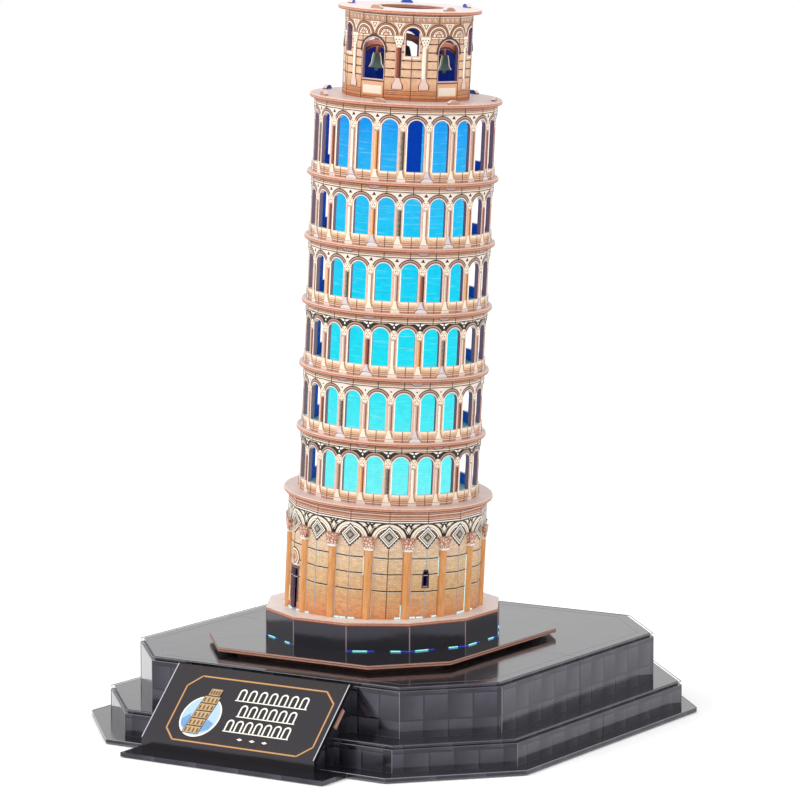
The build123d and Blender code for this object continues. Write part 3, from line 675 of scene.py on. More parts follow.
def loggia(pr, k, j):
    ap = LOG_R * math.cos(math.pi / LOG_N)
    H = LOG_R * math.sin(math.pi / LOG_N)
    zb, zt = RING_H[k - 2], RING_H[k - 1] - T
    P0 = panel(LOG_PH + STEP * j, ap)
    P = lambda u, v, d: P0(u, zb + v, d)
    top = zt - zb
    ww, w0, w1 = (6.8, 4.2, 25.3) if k == 7 else (6.9, 4.6, 20.3)
    wr = ww / 2 / math.cos(math.pi / LOG_N) + 0.02
    sp = w1 - ww / 2
    edge = H - wr                                   # half width of the board between two windows
    vf = w1 + 2.35                                  # underside of the frieze
    own_tab = k >= 3 and (j % 3) == UPS[k - 1]      # a tab of the wall below stands in this foot
    low_tab = k <= 6 and (j % 3) == 3 - UPS[k]      # a tab of the wall above hangs in this head
    # frieze: thin mouldings over a dark line
    pr.rect(P, -H, H, vf - 0.02, vf + 0.24, DARK, 0.06)
    pr.rect(P, -H, H, vf + 0.30, vf + 0.70, CREAM, 0.05)
    pr.rect(P, -H, H, vf + 0.78, vf + 0.92, MAUVE, 0.05)
    for v in (0.30, 0.42, 0.72, 0.84):
        w = vf + 0.95 + (top - vf - 0.95) * v
        pr.rect(P, -H, H, w, w + 0.17, BROWN if v in (0.42, 0.84) else TAN, 0.04)
    pr.rect(P, -H, H, top - 0.22, top, BROWN, 0.05)
    for s in (-1, 1):
        pr.rect(P, s * H, s * (H - 0.13), vf - 0.9, top, DARK, 0.09)
    if low_tab:
        z1 = max(vf + 1.0, top - 1.5)
        o = [(-2.66, top), (-2.66, z1 + 0.9), (-2.1, z1 + 0.25), (-1.1, z1 - 0.1), (1.1, z1 - 0.1), (2.1, z1 + 0.25), (2.66, z1 + 0.9), (2.66, top)]
        pr.poly(P, o, PLUM, 0.08)
        i_ = [(-2.5, top), (-2.5, z1 + 1.0), (-1.95, z1 + 0.42), (-1.0, z1 + 0.1), (1.0, z1 + 0.1), (1.95, z1 + 0.42), (2.5, z1 + 1.0), (2.5, top)]
        pr.poly(P, i_, LILAC, 0.11)
    # spandrel between the two half arches
    R = 5.34
    leaf = k in (2, 4)
    th = math.degrees(math.asin(min(1.0, (vf - sp) / R)))
    left = arc_pts(-H, sp, R - 0.12, 30, min(th, 89), 8)
    right = arc_pts(H, sp, R - 0.12, 180 - min(th, 89), 150, 8)
    pr.poly(P, left + [(-0.02, vf), (0.02, vf)] + right, DARK if leaf else SPAN, 0.03)
    if leaf:
        for s in (-1, 1):
            pr.poly(P, [(s * 0.2, vf - 0.95), (s * 0.3, vf - 0.35), (s * 2.35, vf - 0.2), (s * 1.5, vf - 0.72), (s * 0.85, vf - 1.15)], IVORY, 0.07)
        pr.poly(P, [(0, vf - 1.25), (0.4, vf - 1.85), (0, vf - 2.5), (-0.4, vf - 1.85)], IVORY, 0.08)
    elif k != 3:
        pr.poly(P, [(0.0, vf - 0.3), (0.85, vf - 1.7), (-0.85, vf - 1.7)], DARK, 0.07)
    else:
        pr.poly(P, [(0.0, vf - 2.1), (0.4, vf - 1.7), (0.0, vf - 1.3), (-0.4, vf - 1.7)], DARK, 0.07)
    # arch bands
    for s in (-1, 1):
        c = s * H
        low = 16
        b0, b1 = (90, 180 - low) if s > 0 else (low, 90)
        pr.arc(P, c, sp, 4.94, R, b0, b1, DARK, 0.07)
        pr.arc(P, c, sp, 4.52, 4.94, b0, b1, SAGE, 0.05)
        pr.arc(P, c, sp, 4.16, 4.52, b0, b1, MAUVED, 0.05)
        pr.arc(P, c, sp, 3.84, 4.16, b0, b1, PLUM, 0.06)
        b0, b1 = (90, 179) if s > 0 else (1, 90)
        pr.arc(P, c, sp, wr + 0.02, 3.84, b0, b1, CREAM, 0.06)
    # pale rim of the opening below the spring
    for s in (-1, 1):
        pr.rect(P, s * edge, s * (edge - 0.38), w0 - 0.1, sp + 0.05, IVORY if s > 0 else RIMP, 0.05)
    # carved capital: narrow collar, leaves, two side scrolls running into the arches
    cb = sp - 1.45
    ct = sp + 2.55
    cap = [(-0.78, cb), (0.78, cb), (0.86, cb + 0.5), (1.1, cb + 1.3), (1.45, cb + 2.0), (1.5, cb + 2.6), (1.15, cb + 3.1), (0.62, ct), (-0.62, ct), (-1.15, cb + 3.1),
           (-1.5, cb + 2.6), (-1.45, cb + 2.0), (-1.1, cb + 1.3), (-0.86, cb + 0.5)]
    pr.poly(P, [(u * 1.05, v) for u, v in cap], PINKISH, 0.09)
    pr.poly(P, [(u * 0.80, v + 0.05) for u, v in cap], CAPC, 0.12)
    for s in (-1, 1):
        pr.poly(P, [(s * 0.95, cb + 2.3), (s * 1.6, cb + 2.2), (s * 1.75, cb + 2.9), (s * 1.2, cb + 3.2)], CAPC, 0.13)
        pr.poly(P, [(s * 1.32, cb + 2.42), (s * 1.56, cb + 2.66), (s * 1.32, cb + 2.9), (s * 1.1, cb + 2.66)], DARK, 0.15)
        pr.poly(P, [(s * 0.42, cb + 1.25), (s * 0.68, cb + 1.6), (s * 0.5, cb + 2.0), (s * 0.26, cb + 1.6)], DARK, 0.15)
        pr.poly(P, [(s * 0.62, cb + 0.12), (s * 0.82, cb + 0.36), (s * 0.62, cb + 0.6), (s * 0.42, cb + 0.36)], DARK, 0.15)
        pr.poly(P, [(s * 0.55, cb + 2.85), (s * 0.8, cb + 3.1), (s * 0.55, cb + 3.35), (s * 0.3, cb + 3.1)], DARK, 0.15)
    pr.poly(P, [(0, cb + 0.08), (0.18, cb + 0.34), (0, cb + 0.6), (-0.18, cb + 0.34)], BROWN, 0.15)
    pr.poly(P, [(0, cb + 2.1), (0.24, cb + 2.4), (0, cb + 2.7), (-0.24, cb + 2.4)], BROWN, 0.15)
    pr.rect(P, -0.8, 0.8, cb - 0.16, cb + 0.04, MAUVE, 0.15)
    # shaft
    kk = shaft_kind(k, j)
    kind = SHAFTS[kk]
    s0, s1, hw = 4.4, cb - 0.1, 0.84
    pr.rect(P, -hw, -hw + 0.42, s0, s1, kind[0], 0.10)
    pr.rect(P, -hw + 0.42, hw - 0.62, s0, s1, kind[1], 0.11)
    pr.rect(P, hw - 0.62, hw, s0, s1, kind[2], 0.10)
    pr.rect(P, hw, hw + 0.12, s0, s1, TAN, 0.06)
    pr.rect(P, -hw - 0.12, -hw, s0, s1, TAN, 0.06)
    if kk == "G":
        rr = random.Random(k * 100 + j)
        for q in range(15):
            v = s0 + 0.4 + (s1 - s0 - 0.8) * q / 14
            u = rr.uniform(-0.6, 0.1)
            pr.poly(P, [(u, v - .2), (u + .2, v), (u, v + .2), (u - .2, v)], GREYL if q % 3 else GREYD, 0.13)
    # bell-shaped base on its block
    bb = 1.75 if own_tab else 1.3
    bell = [(-0.82, 4.7), (-0.9, 4.1), (-1.15, 3.2), (-1.65, bb + 0.6), (-1.75, bb), (1.75, bb), (1.65, bb + 0.6), (1.15, 3.2), (0.9, 4.1), (0.82, 4.7)]
    pr.poly(P, [(u * 1.06, v) for u, v in bell], MAUVE, 0.09)
    pr.poly(P, [(u * 0.95 - 0.04, v + 0.06) for u, v in bell], BASEL if own_tab else CREAM, 0.13)
    pr.poly(P, [(0.3, 4.6), (0.36, 4.0), (0.6, 3.2), (0.95, bb + 0.5), (1.5, bb + 0.3), (1.5, bb + 0.5), (1.05, 3.2), (0.82, 4.1), (0.74, 4.6)], MAUVE if own_tab else TAN, 0.15)
    if own_tab:
        arcp = [(-2.66, 0.0), (-2.66, 0.6), (-2.1, 1.3), (-1.1, 1.78), (1.1, 1.78), (2.1, 1.3), (2.66, 0.6), (2.66, 0.0)]
        pr.line(P, arcp, 0.16, MAUVED, 0.07)
        pr.poly(P, [(-2.5, 0.03), (-2.5, 0.55), (-2.0, 1.15), (-1.0, 1.6), (1.0, 1.6), (2.0, 1.15), (2.5, 0.55), (2.5, 0.03)], TABW, 0.10)
    else:
        pr.rect(P, -1.85, 1.85, 0.0, bb, PINKISH if j % 2 else CREAM, 0.09)
        pr.rect(P, -1.85, 1.85, bb - 0.12, bb, TAN, 0.12)
    # parapet mouldings
    for s in (-1, 1):
        c0, c1 = 2.7 if own_tab else 2.0, H
        pr.rect(P, s * c0, s * c1, 0.45, 0.68, TERRA, 0.05)
        pr.rect(P, s * c0, s * c1, 1.15, 1.38, BROWN, 0.05)
        pr.rect(P, s * c0, s * c1, 1.90, 2.10, BROWN, 0.05)
        pr.rect(P, s * c0, s * c1, 2.70, 2.86, TAN, 0.05)
        pr.rect(P, s * c0, s * c1, 0.72, 1.12, PINKISH, 0.03)
        pr.rect(P, s * c0, s * c1, 1.40, 1.82, PEACH, 0.03)
        pr.rect(P, s * 1.95, s * H, w0 - 0.75, w0 - 0.1, CREAM, 0.03)
        pr.rect(P, s * H, s * (H - 0.13), 0.0, w0 - 0.05, BROWN, 0.09)
    return


for k in range(2, 8):
    pr = Print("loggia_print_%d" % k)
    for j in range(-10, 12):
        loggia(pr, k, j)
    pr.done()


GS = 2.05                                       # the ground storey's bands sit this much above their nominal heights


def ground(pr, i):
    ap = GROUND_R * math.cos(math.pi / GROUND_N)
    H = GROUND_R * math.sin(math.pi / GROUND_N)
    P0 = panel(22.5 * i, ap)
    P = lambda u, v, d: P0(u, v + GS, d)
    top = RING_H[0] - T - GS
    # moulding under the first gallery
    for v0, v1, m in ((44.72, 45.1, BROWN), (44.35, 44.6, PEACH), (44.0, 44.2, BROWN), (43.45, 43.9, PINKISH), (43.15, 43.3, BROWN), (42.7, 42.9, TERRA),
                      (42.3, 42.5, PEACH), (41.85, 42.0, BROWN), (41.35, 41.8, PINKISH)):
        pr.rect(P, -H, H, v0, v1, m, 0.04)
    pr.rect(P, -H, H, 40.95, 41.3, DARK, 0.06)
    pr.rect(P, -H, H, 40.5, 40.95, IVORY, 0.05)
    pr.rect(P, -H, H, 40.2, 40.5, DARK, 0.06)
    # spandrel
    cy, R = 32.4, 7.75
    t1 = 89.0
    left = arc_pts(-H, cy, R - 0.15, 14, t1, 10)
    right = arc_pts(H, cy, R - 0.15, 180 - t1, 166, 10)
    pr.poly(P, left + [(-0.02, 40.3), (0.02, 40.3)] + right, DARK, 0.03)
    pr.poly(P, [(0, 36.1), (0.95, 37.7), (0, 39.3), (-0.95, 37.7)], CREAM, 0.07)
    for s in (-1, 1):
        pr.poly(P, [(s * 1.2, 38.7), (s * 2.3, 39.85), (s * 4.9, 39.95), (s * 3.6, 39.3), (s * 2.3, 38.6)], CREAM, 0.07)
        pr.poly(P, [(s * 0.2, 40.0), (s * 1.4, 40.0), (s * 0.7, 39.5)], CREAM, 0.07)
        pr.line(P, [(s * 0.4, 35.8), (s * 1.5, 37.9), (s * 3.2, 38.9)], 0.22, CREAM, 0.07)
    # arch bands
    for s in (-1, 1):
        c = s * H
        for r0, r1, m, d in ((7.45, R, DARK, .06), (6.35, 7.45, CREAM, .05), (6.15, 6.35, BROWN, .06), (5.6, 6.15, IVORY, .05), (5.4, 5.6, DARK, .06),
                             (4.9, 5.4, TAN, .04), (4.8, 4.9, BROWN, .05)):
            e = math.degrees(math.asin(min(1.0, 1.0 / r1)))
            b0, b1 = (90, 180 - e) if s > 0 else (e, 90)
            pr.arc(P, c, cy, r0, r1, b0, b1, m, d, n=14)
        # concentric diamond, half on each side of the fold
        cz, w, hh = 34.5, 4.75, 4.9
        for f, m, d in ((1.0, DARK, .08), (0.86, IVORY, .10), (0.72, DARK, .12), (0.62, IVORY, .14), (0.54, GREYL, .16)):
            pr.poly(P, [(c, cz + hh * f), (c - s * w * f, cz), (c, cz - hh * f)], m, d)
        for f, m, d in ((0.38, GREYD, .18), (0.24, GREYL, .20)):
            pr.poly(P, [(c, cz + hh * f), (c - s * w * f, cz), (c, cz - hh * f)], m, d)
        # teeth round the lower sides of the diamond
        for q in range(5):
            t = (q + 0.5) / 5
            u, v = c - s * w * 1.0 * (1 - t), cz - hh * t
            pr.poly(P, [(u - 0.3, v), (u, v - 0.55), (u + 0.3, v), (u, v + 0.4)], DARK, 0.07)
            u, v = c - s * w * 1.0 * (1 - t), cz + hh * t
            if q < 3:
                pr.poly(P, [(u - 0.3, v), (u, v + 0.5), (u + 0.3, v), (u, v - 0.4)], DARK, 0.07)
    # string lines on the brickwork, broken by the column
    for v in (25.5, 18.8, 11.7):
        for s in (-1, 1):
            pr.rect(P, s * 2.0, s * H, v - 0.24, v + 0.24, DARK, 0.06)
            pr.rect(P, s * 2.0, s * H, v - 0.42, v - 0.24, CREAM, 0.04)
    # fold line
    pale = TEAL if i in (13, 14, 12, 2, 5, 8) else CREASE
    for s in (-1, 1):
        m = [TEAL, CREASE, BROWN][(i + (1 if s > 0 else 0)) % 3]
        slit = (i == 14 and s > 0) or (i == 15 and s < 0)
        for z0, z1 in (((0.5, 13.2), (20.9, 29.5)) if slit else ((0.5, 29.5),)):
            pr.rect(P, s * H, s * (H - 0.16), z0, z1, m, 0.09)
        pr.rect(P, s * H, s * (H - 0.12), 39.9, top, BROWN, 0.09)
        # slim shadow and light beside the half-round column
        pr.rect(P, s * 1.75, s * 2.05, -1.0, 28.4, SILVER if s > 0 else TAN, 0.05)


pr = Print("ground_print")
for i in range(GROUND_N):
    ground(pr, i)
# slit window and doorway surrounds
gap_ap = GROUND_R * math.cos(math.pi / GROUND_N)
Hg = GROUND_R * math.sin(math.pi / GROUND_N)
for c, s in ((14, -1), (14, 1)):
    Pq = panel(22.5 * (c if s > 0 else c + 1), gap_ap)
    P = lambda u, v, d, Pq=Pq: Pq(u, v + GS, d)
    e = s * Hg
    pr.poly(P, [(e, 13.2), (e - s * 1.7, 13.2), (e - s * 1.45, 19.2), (e - s * 0.95, 20.9), (e, 20.9), (e, 20.3), (e - s * 0.95, 20.1), (e - s * 1.1, 13.6), (e, 13.6)], VIOLET, 0.12)
for s in (-1, 1):
    Pq = panel(22.5 * (10 if s > 0 else 11), gap_ap)
    P = lambda u, v, d, Pq=Pq: Pq(u, v + GS, d)
    e = s * Hg
    pr.rect(P, e - s * 4.2, e - s * 3.35, 1.0, 16.4, BROWN, 0.12)
    pr.rect(P, e, e - s * 4.5, 15.1, 16.2, BROWN, 0.13)
    pr.rect(P, e, e - s * 4.3, 16.2, 16.8, CREAM, 0.12)
    a0, a1 = (90, 180) if s > 0 else (0, 90)
    for r0, r1, m in ((3.7, 4.2, DARK), (2.9, 3.7, CREAM), (2.5, 2.9, BROWN), (1.4, 2.5, PEACH), (0.2, 1.4, TAN)):
        pr.arc(P, e, 19.6, r0, r1, a0, a1, m, 0.10)
        pr.arc(P, e, 19.6, r0, r1, *((180, 270) if s > 0 else (270, 360)), m, 0.10)
pr.done()


def belfry(pr, q):
    """q counts panels; 0 and 2 carry a column, 1 the bell window."""
    ap = BEL_R * math.cos(math.pi / BEL_N)
    H = BEL_R * math.sin(math.pi / BEL_N)
    b0 = RING_H[6]
    P0 = panel(BEL_PH + 24 * q + 12, ap)
    P = lambda u, v, d: P0(u, b0 + v, d)
    top = BEL_H - T - b0
    kind = q % 3
    # carved frieze
    pr.rect(P, -H, H, top - 0.55, top, BROWN, 0.05)
    pr.rect(P, -H, H, top - 0.95, top - 0.6, CREAM, 0.05)
    pr.rect(P, -H, H, top - 3.3, top - 3.1, BROWN, 0.05)
    for n in range(9):
        u = -H + 0.6 + (2 * H - 1.2) * n / 8
        pr.poly(P, [(u, top - 3.0), (u + 0.42, top - 2.1), (u, top - 1.1), (u - 0.42, top - 2.1)], CREAM if n % 2 else PEACH, 0.07)
        pr.poly(P, [(u - 0.3, top - 2.9), (u + 0.1, top - 2.6), (u - 0.3, top - 2.3)], RED, 0.09)
        pr.poly(P, [(u, top - 1.9), (u + 0.2, top - 2.15), (u, top - 2.4), (u - 0.2, top - 2.15)], BROWN, 0.09)
    # arcade of concentric arches, centred on the folds
    cy = top - 3.5 - 5.2
    open_l = kind == 0          # narrow window on the left fold of the first panel
    open_r = kind == 2
    for s in (-1, 1):
        c = s * H
        is_open = (s < 0 and open_l) or (s > 0 and open_r)
        a = (90, 178) if s > 0 else (2, 90)
        bands = [(4.80, 5.15, DARK, .06), (4.4, 4.80, TAN, .05), (4.1, 4.4, RED, .06), (3.6, 4.1, CREAM, .05), (3.25, 3.6, BROWN, .06)]
        if not is_open:
            bands += [(2.75, 3.25, TAN, .05), (2.45, 2.75, DARK, .06), (1.5, 2.45, CREAM, .05), (1.1, 1.5, RED, .06), (0.0001, 1.1, PEACH, .05)]
        for r0, r1, m, d in bands:
            pr.arc(P, c, cy, r0, r1, *a, m, d)
        if not is_open:
            for t in range(3):
                w = math.radians((95 + 25 * t) if s > 0 else (85 - 25 * t))
                u, v = c + 1.95 * math.cos(w), cy + 1.95 * math.sin(w)
                pr.poly(P, [(u - .28, v), (u, v - .28), (u + .28, v), (u, v + .28)], RED, 0.09)
    pr.poly(P, [(-2.3, top - 3.5), (2.3, top - 3.5), (0.9, cy + 3.4), (0, cy + 1.2), (-0.9, cy + 3.4)], CREAM, 0.035)
    pr.poly(P, [(-1.1, top - 3.9), (1.1, top - 3.9), (0, cy + 2.6)], BROWN, 0.06)
    pr.poly(P, [(-0.6, top - 4.1), (0.6, top - 4.1), (0, cy + 3.2)], CREAM, 0.08)
    # string course under the arcade
    sv = cy - 0.1
    for s in (-1, 1):
        is_open = (s < 0 and open_l) or (s > 0 and open_r)
        e = H - (2.95 if is_open else 0.0)
        pr.rect(P, 0, s * e, sv - 0.25, sv, BROWN, 0.07)
        pr.rect(P, 0, s * e, sv - 0.75, sv - 0.25, CREAM, 0.06)
        pr.rect(P, 0, s * e, sv - 0.92, sv - 0.75, DARK, 0.07)
    # stone courses
    bell = kind == 1
    for n in range(5):
        v = 9.2 + 3.45 * n
        if v > sv - 1.5:
            continue
        for s in (-1, 1):
            is_open = (s < 0 and open_l) or (s > 0 and open_r)
            e = H - (2.95 if (is_open and v > 17.5) else 0.1)
            i0 = 5.35 if bell else 1.35
            if bell:
                if v < 24:
                    continue
                i0 = 0
            pr.rect(P, s * i0, s * e, v, v + 0.30, BROWN, 0.05)
            pr.rect(P, s * i0, s * e, v + 0.30, v + 0.48, DARK if n % 2 else RED, 0.05)
            pr.rect(P, s * i0, s * (i0 + 1.2), v - 0.02, v + 0.5, DARK, 0.06)
    # base mouldings
    for v0, v1, m in ((0.0, 0.5, TERRA), (0.9, 1.1, BROWN), (1.6, 1.95, ORANGE), (2.3, 2.5, BROWN), (3.1, 3.3, TERRA), (3.9, 4.15, BROWN)):
        if bell and v0 > 1.2:
            for s in (-1, 1):
                pr.rect(P, s * 5.3, s * H, v0, v1, m, 0.05)
        else:
            pr.rect(P, -H, H, v0, v1, m, 0.05)
    for s in (-1, 1):
        is_open = (s < 0 and open_l) or (s > 0 and open_r)
        pr.rect(P, s * H, s * (H - 0.15), 0.0, (17.9 if is_open else sv), BROWN, 0.10)
        pr.rect(P, s * H, s * (H - 0.12), top - 3.4, top, DARK, 0.10)
        if is_open:
            pr.rect(P, s * (H - 2.95), s * (H - 3.25), 17.8, 27.9, PINKISH, 0.08)
            pr.rect(P, s * H, s * (H - 3.4), 17.2, 17.9, CREAM, 0.08)
    if bell:
        # window frame, sill panel and hood
        w, z0, z1 = 10.4, 8.2, 25.0
        sp = z1 - w / 2
        pr.arc(P, 0, sp, w / 2 + 0.02, w / 2 + 0.30, 0, 180, PINKISH, 0.10, n=18)
        pr.arc(P, 0, sp, w / 2 + 0.30, w / 2 + 0.95, -6, 186, ink("hood", (84, 58, 46), 0.3), 0.12, n=18)
        pr.arc(P, 0, sp, w / 2 + 0.95, w / 2 + 1.15, -6, 186, DARK, 0.14, n=18)
        pr.poly(P, [(-1.3, z1 + 1.1), (1.3, z1 + 1.1), (0.9, z1 + 1.8), (-0.9, z1 + 1.8)], BROWN, 0.12)
        for s in (-1, 1):
            pr.rect(P, s * 5.22, s * 5.42, z0, sp, PINKISH, 0.10)
        pr.rect(P, -5.4, 5.4, z0 - 0.35, z0 - 0.05, PINKISH, 0.10)
        pr.rect(P, -5.2, 5.2, z0 - 1.0, z0 - 0.4, BROWN, 0.08)
        pr.rect(P, -4.8, 4.8, 1.9, z0 - 1.1, PEACH, 0.06)
        pr.rect(P, -4.5, 4.5, 2.3, z0 - 2.6, CREAM, 0.08)
    else:
        hw = 1.05
        kd = SHAFTS["RCPOGBCRPO"[(q * 3) % 10]] if q not in (0, 14) else SHAFTS["C" if q == 0 else "R"]
        ct, cb = sv - 0.05, sv - 4.6
        capp = [(-1.1, cb), (1.1, cb), (1.2, cb + 1.0), (1.9, cb + 2.9), (2.2, cb + 3.6), (2.2, ct), (-2.2, ct), (-2.2, cb + 3.6), (-1.9, cb + 2.9), (-1.2, cb + 1.0)]
        pr.poly(P, [(u * 1.08, v) for u, v in capp], BROWN, 0.12)
        pr.poly(P, [(u * 0.93, v) for u, v in capp], CREAM, 0.15)
        for u, v, r in ((-1.2, 3.2, .32), (1.2, 3.2, .32), (0, 3.3, .3), (-0.6, 2.2, .3), (0.6, 2.2, .3), (0, 1.3, .26), (-0.7, 0.7, .22), (0.7, 0.7, .22)):
            pr.poly(P, [(u, cb + v - r), (u + r, cb + v), (u, cb + v + r), (u - r, cb + v)], TERRA if q % 2 else DARK, 0.18)
        pr.rect(P, -hw, -hw + 0.6, 8.4, cb, kd[0], 0.12)
        pr.rect(P, -hw + 0.6, hw - 0.65, 8.4, cb, kd[1], 0.13)
        pr.rect(P, hw - 0.65, hw, 8.4, cb, kd[2], 0.12)
        pr.rect(P, hw, hw + 0.2, 8.4, cb, BROWN, 0.08)
        base = [(-1.0, 9.0), (-1.1, 8.2), (-1.7, 7.0), (-2.1, 6.4), (-2.1, 4.6), (2.1, 4.6), (2.1, 6.4), (1.7, 7.0), (1.1, 8.2), (1.0, 9.0)]
        pr.poly(P, [(u * 1.12, v) for u, v in base], BROWN, 0.12)
        pr.poly(P, [(u * 0.92 - 0.08, v + 0.12) for u, v in base], PINKISH, 0.15)


pr = Print("belfry_print")
for q in range(BEL_N):
    belfry(pr, q)
pr.done()

# ---------------------------------------------------------------- bells
pr = Print("bell_print_relief")
bel_ap = BEL_R * math.cos(math.pi / BEL_N)
for j in range(5):
    a = BEL_PH + 72 * j + 36
    P0 = panel(a, bel_ap - T - 0.65)
    z = RING_H[6] + 8.2
    P = lambda u, v, d: P0(u, z + v, d)
    pr.poly(P, [(-6.1, 10.4), (-4.6, 11.6), (-2.6, 12.75), (0, 13.15), (2.6, 12.75), (4.6, 11.6), (6.1, 10.4), (6.1, 11.3), (4.6, 12.4), (2.6, 13.6), (0, 14.0),
                (-2.6, 13.6), (-4.6, 12.4), (-6.1, 11.3)], ink("beam_dark", (86, 40, 26), 0.3), 0.05)
    pr.poly(P, [(-6.1, 13.0), (-4.6, 13.9), (-2.6, 14.7), (0, 15.1), (2.6, 14.7), (4.6, 13.9), (6.1, 13.0), (6.1, 13.7), (4.6, 14.6), (2.6, 15.4), (0, 15.8),
                (-2.6, 15.4), (-4.6, 14.6), (-6.1, 13.7)], ink("beam_light", (206, 140, 118), 0.2), 0.05)
    pr.poly(P, [(-1.5, 10.0), (-1.9, 8.6), (-2.4, 6.0), (-3.6, 4.45), (-2.2, 4.45), (-1.3, 6.4), (-0.9, 8.8), (-0.8, 10.2)], ink("bell_light", (86, 118, 112), 0.2), 0.05)
    for s in (-1, 1):
        pr.poly(P, [(s * 1.75, 10.4), (s * 2.3, 8.6), (s * 2.75, 6.1), (s * 3.95, 4.4), (s * 3.2, 4.6), (s * 2.2, 6.2), (s * 1.9, 8.6), (s * 1.4, 10.3)],
                ink("yoke", (214, 186, 168), 0.16), 0.09)
pr.done()

# ---------------------------------------------------------------- base lines
pr = Print("crease_lines")


def bar(p, q, w, m, up=(0, 0, 1)):
    """Closed six-sided strip of width w between two points in mm."""
    p, q = Vector(p), Vector(q)
    d = (q - p).normalized()
    a = d.cross(Vector(up))
    if a.length < 1e-4:
        a = d.cross(Vector((1, 0, 0)))
    a.normalize()
    b = d.cross(a).normalized()
    n = 6
    base = len(pr.v)
    for e in (p, q):
        for i in range(n):
            t = 2 * math.pi * i / n
            pr.v.append(e + a * (w / 2 * math.cos(t)) + b * (w / 2 * math.sin(t)))
    pr.f.append([base + i for i in range(n)][::-1])
    pr.f.append([base + n + i for i in range(n)])
    for i in range(n):
        j = (i + 1) % n
        pr.f.append([base + i, base + j, base + n + j, base + n + i])
    pr.mi += [pr.mat(m)] * (n + 2)


def loop(d, off, z, w, m, skip=()):
    pts = octa(d, off)
    for i in range(8):
        if i not in skip:
            bar((*pts[i], z), (*pts[(i + 1) % 8], z), w, m)


for d, z0, z1 in ((LOWER, T0, Z_LOWER), (UPPER, Z_LOWER, Z_UPPER)):
    for x, y in octa(d, 0.0):
        bar((x, y, z0), (x, y, z1 - T), 0.34, SILVERD)
    loop(d, -0.05, z1 - T, 0.30, LINEG)
    loop(d, -0.10, z1 - 0.12, 0.30, LINEG)
    loop(d, -0.1, z0 + 0.12, 0.22, LINEG)
loop(PLATE, -0.05, T0 - 0.05, 0.34, SILVERD)
loop(PLATE, -0.05, 0.25, 0.28, LINEG)
# printed line inset from the edge of the upper deck
Pz = disc(Z_UPPER)
for off, w in ((-6.2, 0.30),):
    pts = octa(UPPER, off)
    for i in range(8):
        a, b = pts[i], pts[(i + 1) % 8]
        pr.line(Pz, [a, b], w, SILVERD, 0.04)
pr.done()

# ---------------------------------------------------------------- label
SL = math.hypot(LAB_TOP[0] - LAB_BOT[0], LAB_TOP[1] - LAB_BOT[1])
sy, sz = (LAB_TOP[0] - LAB_BOT[0]) / SL, (LAB_TOP[1] - LAB_BOT[1]) / SL
ny, nz = -sz, sy


def lab(u, v, d):
    return Vector((u, LAB_BOT[0] + sy * v + ny * d, LAB_BOT[1] + sz * v + nz * d))


pr = Print("label_ornament")
fr = [(-30.6, 31.9), (-35.9, 26.6), (-35.9, 5.8), (-30.6, 0.7), (29.6, 0.7), (35.2, 5.8), (35.2, 26.8), (29.7, 32.0)]
for row, (v0, hh, m) in enumerate(((32.6, 2.8, ink("faint_brown", (46, 38, 30), 0.2, 0.2)), (1.2, 2.6, ink("faint_brown", (46, 38, 30), 0.2, 0.2)))):
    for i in range(17):
        u = LAB_X0 + 3.2 + i * 4.85
        if row == 0 and LAB_X0 + 2 < u < LAB_X1 - 2:
            pr.poly(lab, [(u - 2.0, v0 + hh), (u + 2.0, v0 + hh), (u, v0)], m, 0.03)
        elif row == 1 and -29 < u < 28:
            pr.poly(lab, [(u - 1.8, v0), (u + 1.8, v0), (u, v0 + hh)], m, 0.03)
pr.line(lab, fr, 0.85, GOLDD, 0.04, close=True)
pr.line(lab, fr, 0.50, GOLD, 0.08, close=True)
# round emblem: sky disc with a small plain tower of five stages
ex, ey, rx, ry = -22.6, 12.9, 9.4, 9.9
ell = lambda k, n=40: [(ex + rx * k * math.cos(2 * math.pi * i / n), ey + ry * k * math.sin(2 * math.pi * i / n)) for i in range(n)]
pr.poly(lab, ell(1.0), IVORY, 0.05)
pr.poly(lab, ell(0.93), SKY, 0.08)
pr.poly(lab, [(ex - 8.2, ey - 2.0), (ex - 5.0, ey + 1.0), (ex - 3.6, ey - 3.4), (ex - 5.5, ey - 6.4), (ex - 7.6, ey - 4.4)], SKYD, 0.10)
pr.poly(lab, [(ex + 4.0, ey - 1.0), (ex + 7.6, ey - 2.6), (ex + 6.4, ey - 5.8), (ex + 2.6, ey - 7.6)], SKYD, 0.10)
for i in range(6):
    s = 0.16 * i
    y0, y1 = ey - 8.4 + 3.7 * i, ey - 8.4 + 3.7 * (i + 1)
    w = 4.0 if i < 5 else 3.0
    x = ex + s * 3.6 - 1.4
    pr.poly(lab, [(x - w, y0), (x + w, y0), (x + w + 0.5, y1), (x - w + 0.5, y1)], DARK, 0.12)
    pr.poly(lab, [(x - w + 0.3, y0 + 0.3), (x + w - 0.3, y0 + 0.3), (x + w + 0.15, y1 - 0.25), (x - w + 0.8, y1 - 0.25)], BUFF, 0.15)
    for q in range(4):
        u = x - w + 1.3 + q * (2 * w - 2.3) / 3
        pr.poly(lab, [(u - 0.4, y0 + 0.7), (u + 0.4, y0 + 0.7), (u + 0.5, y1 - 1.2), (u + 0.1, y1 - 0.8), (u - 0.3, y1 - 1.2)], BROWN, 0.18)
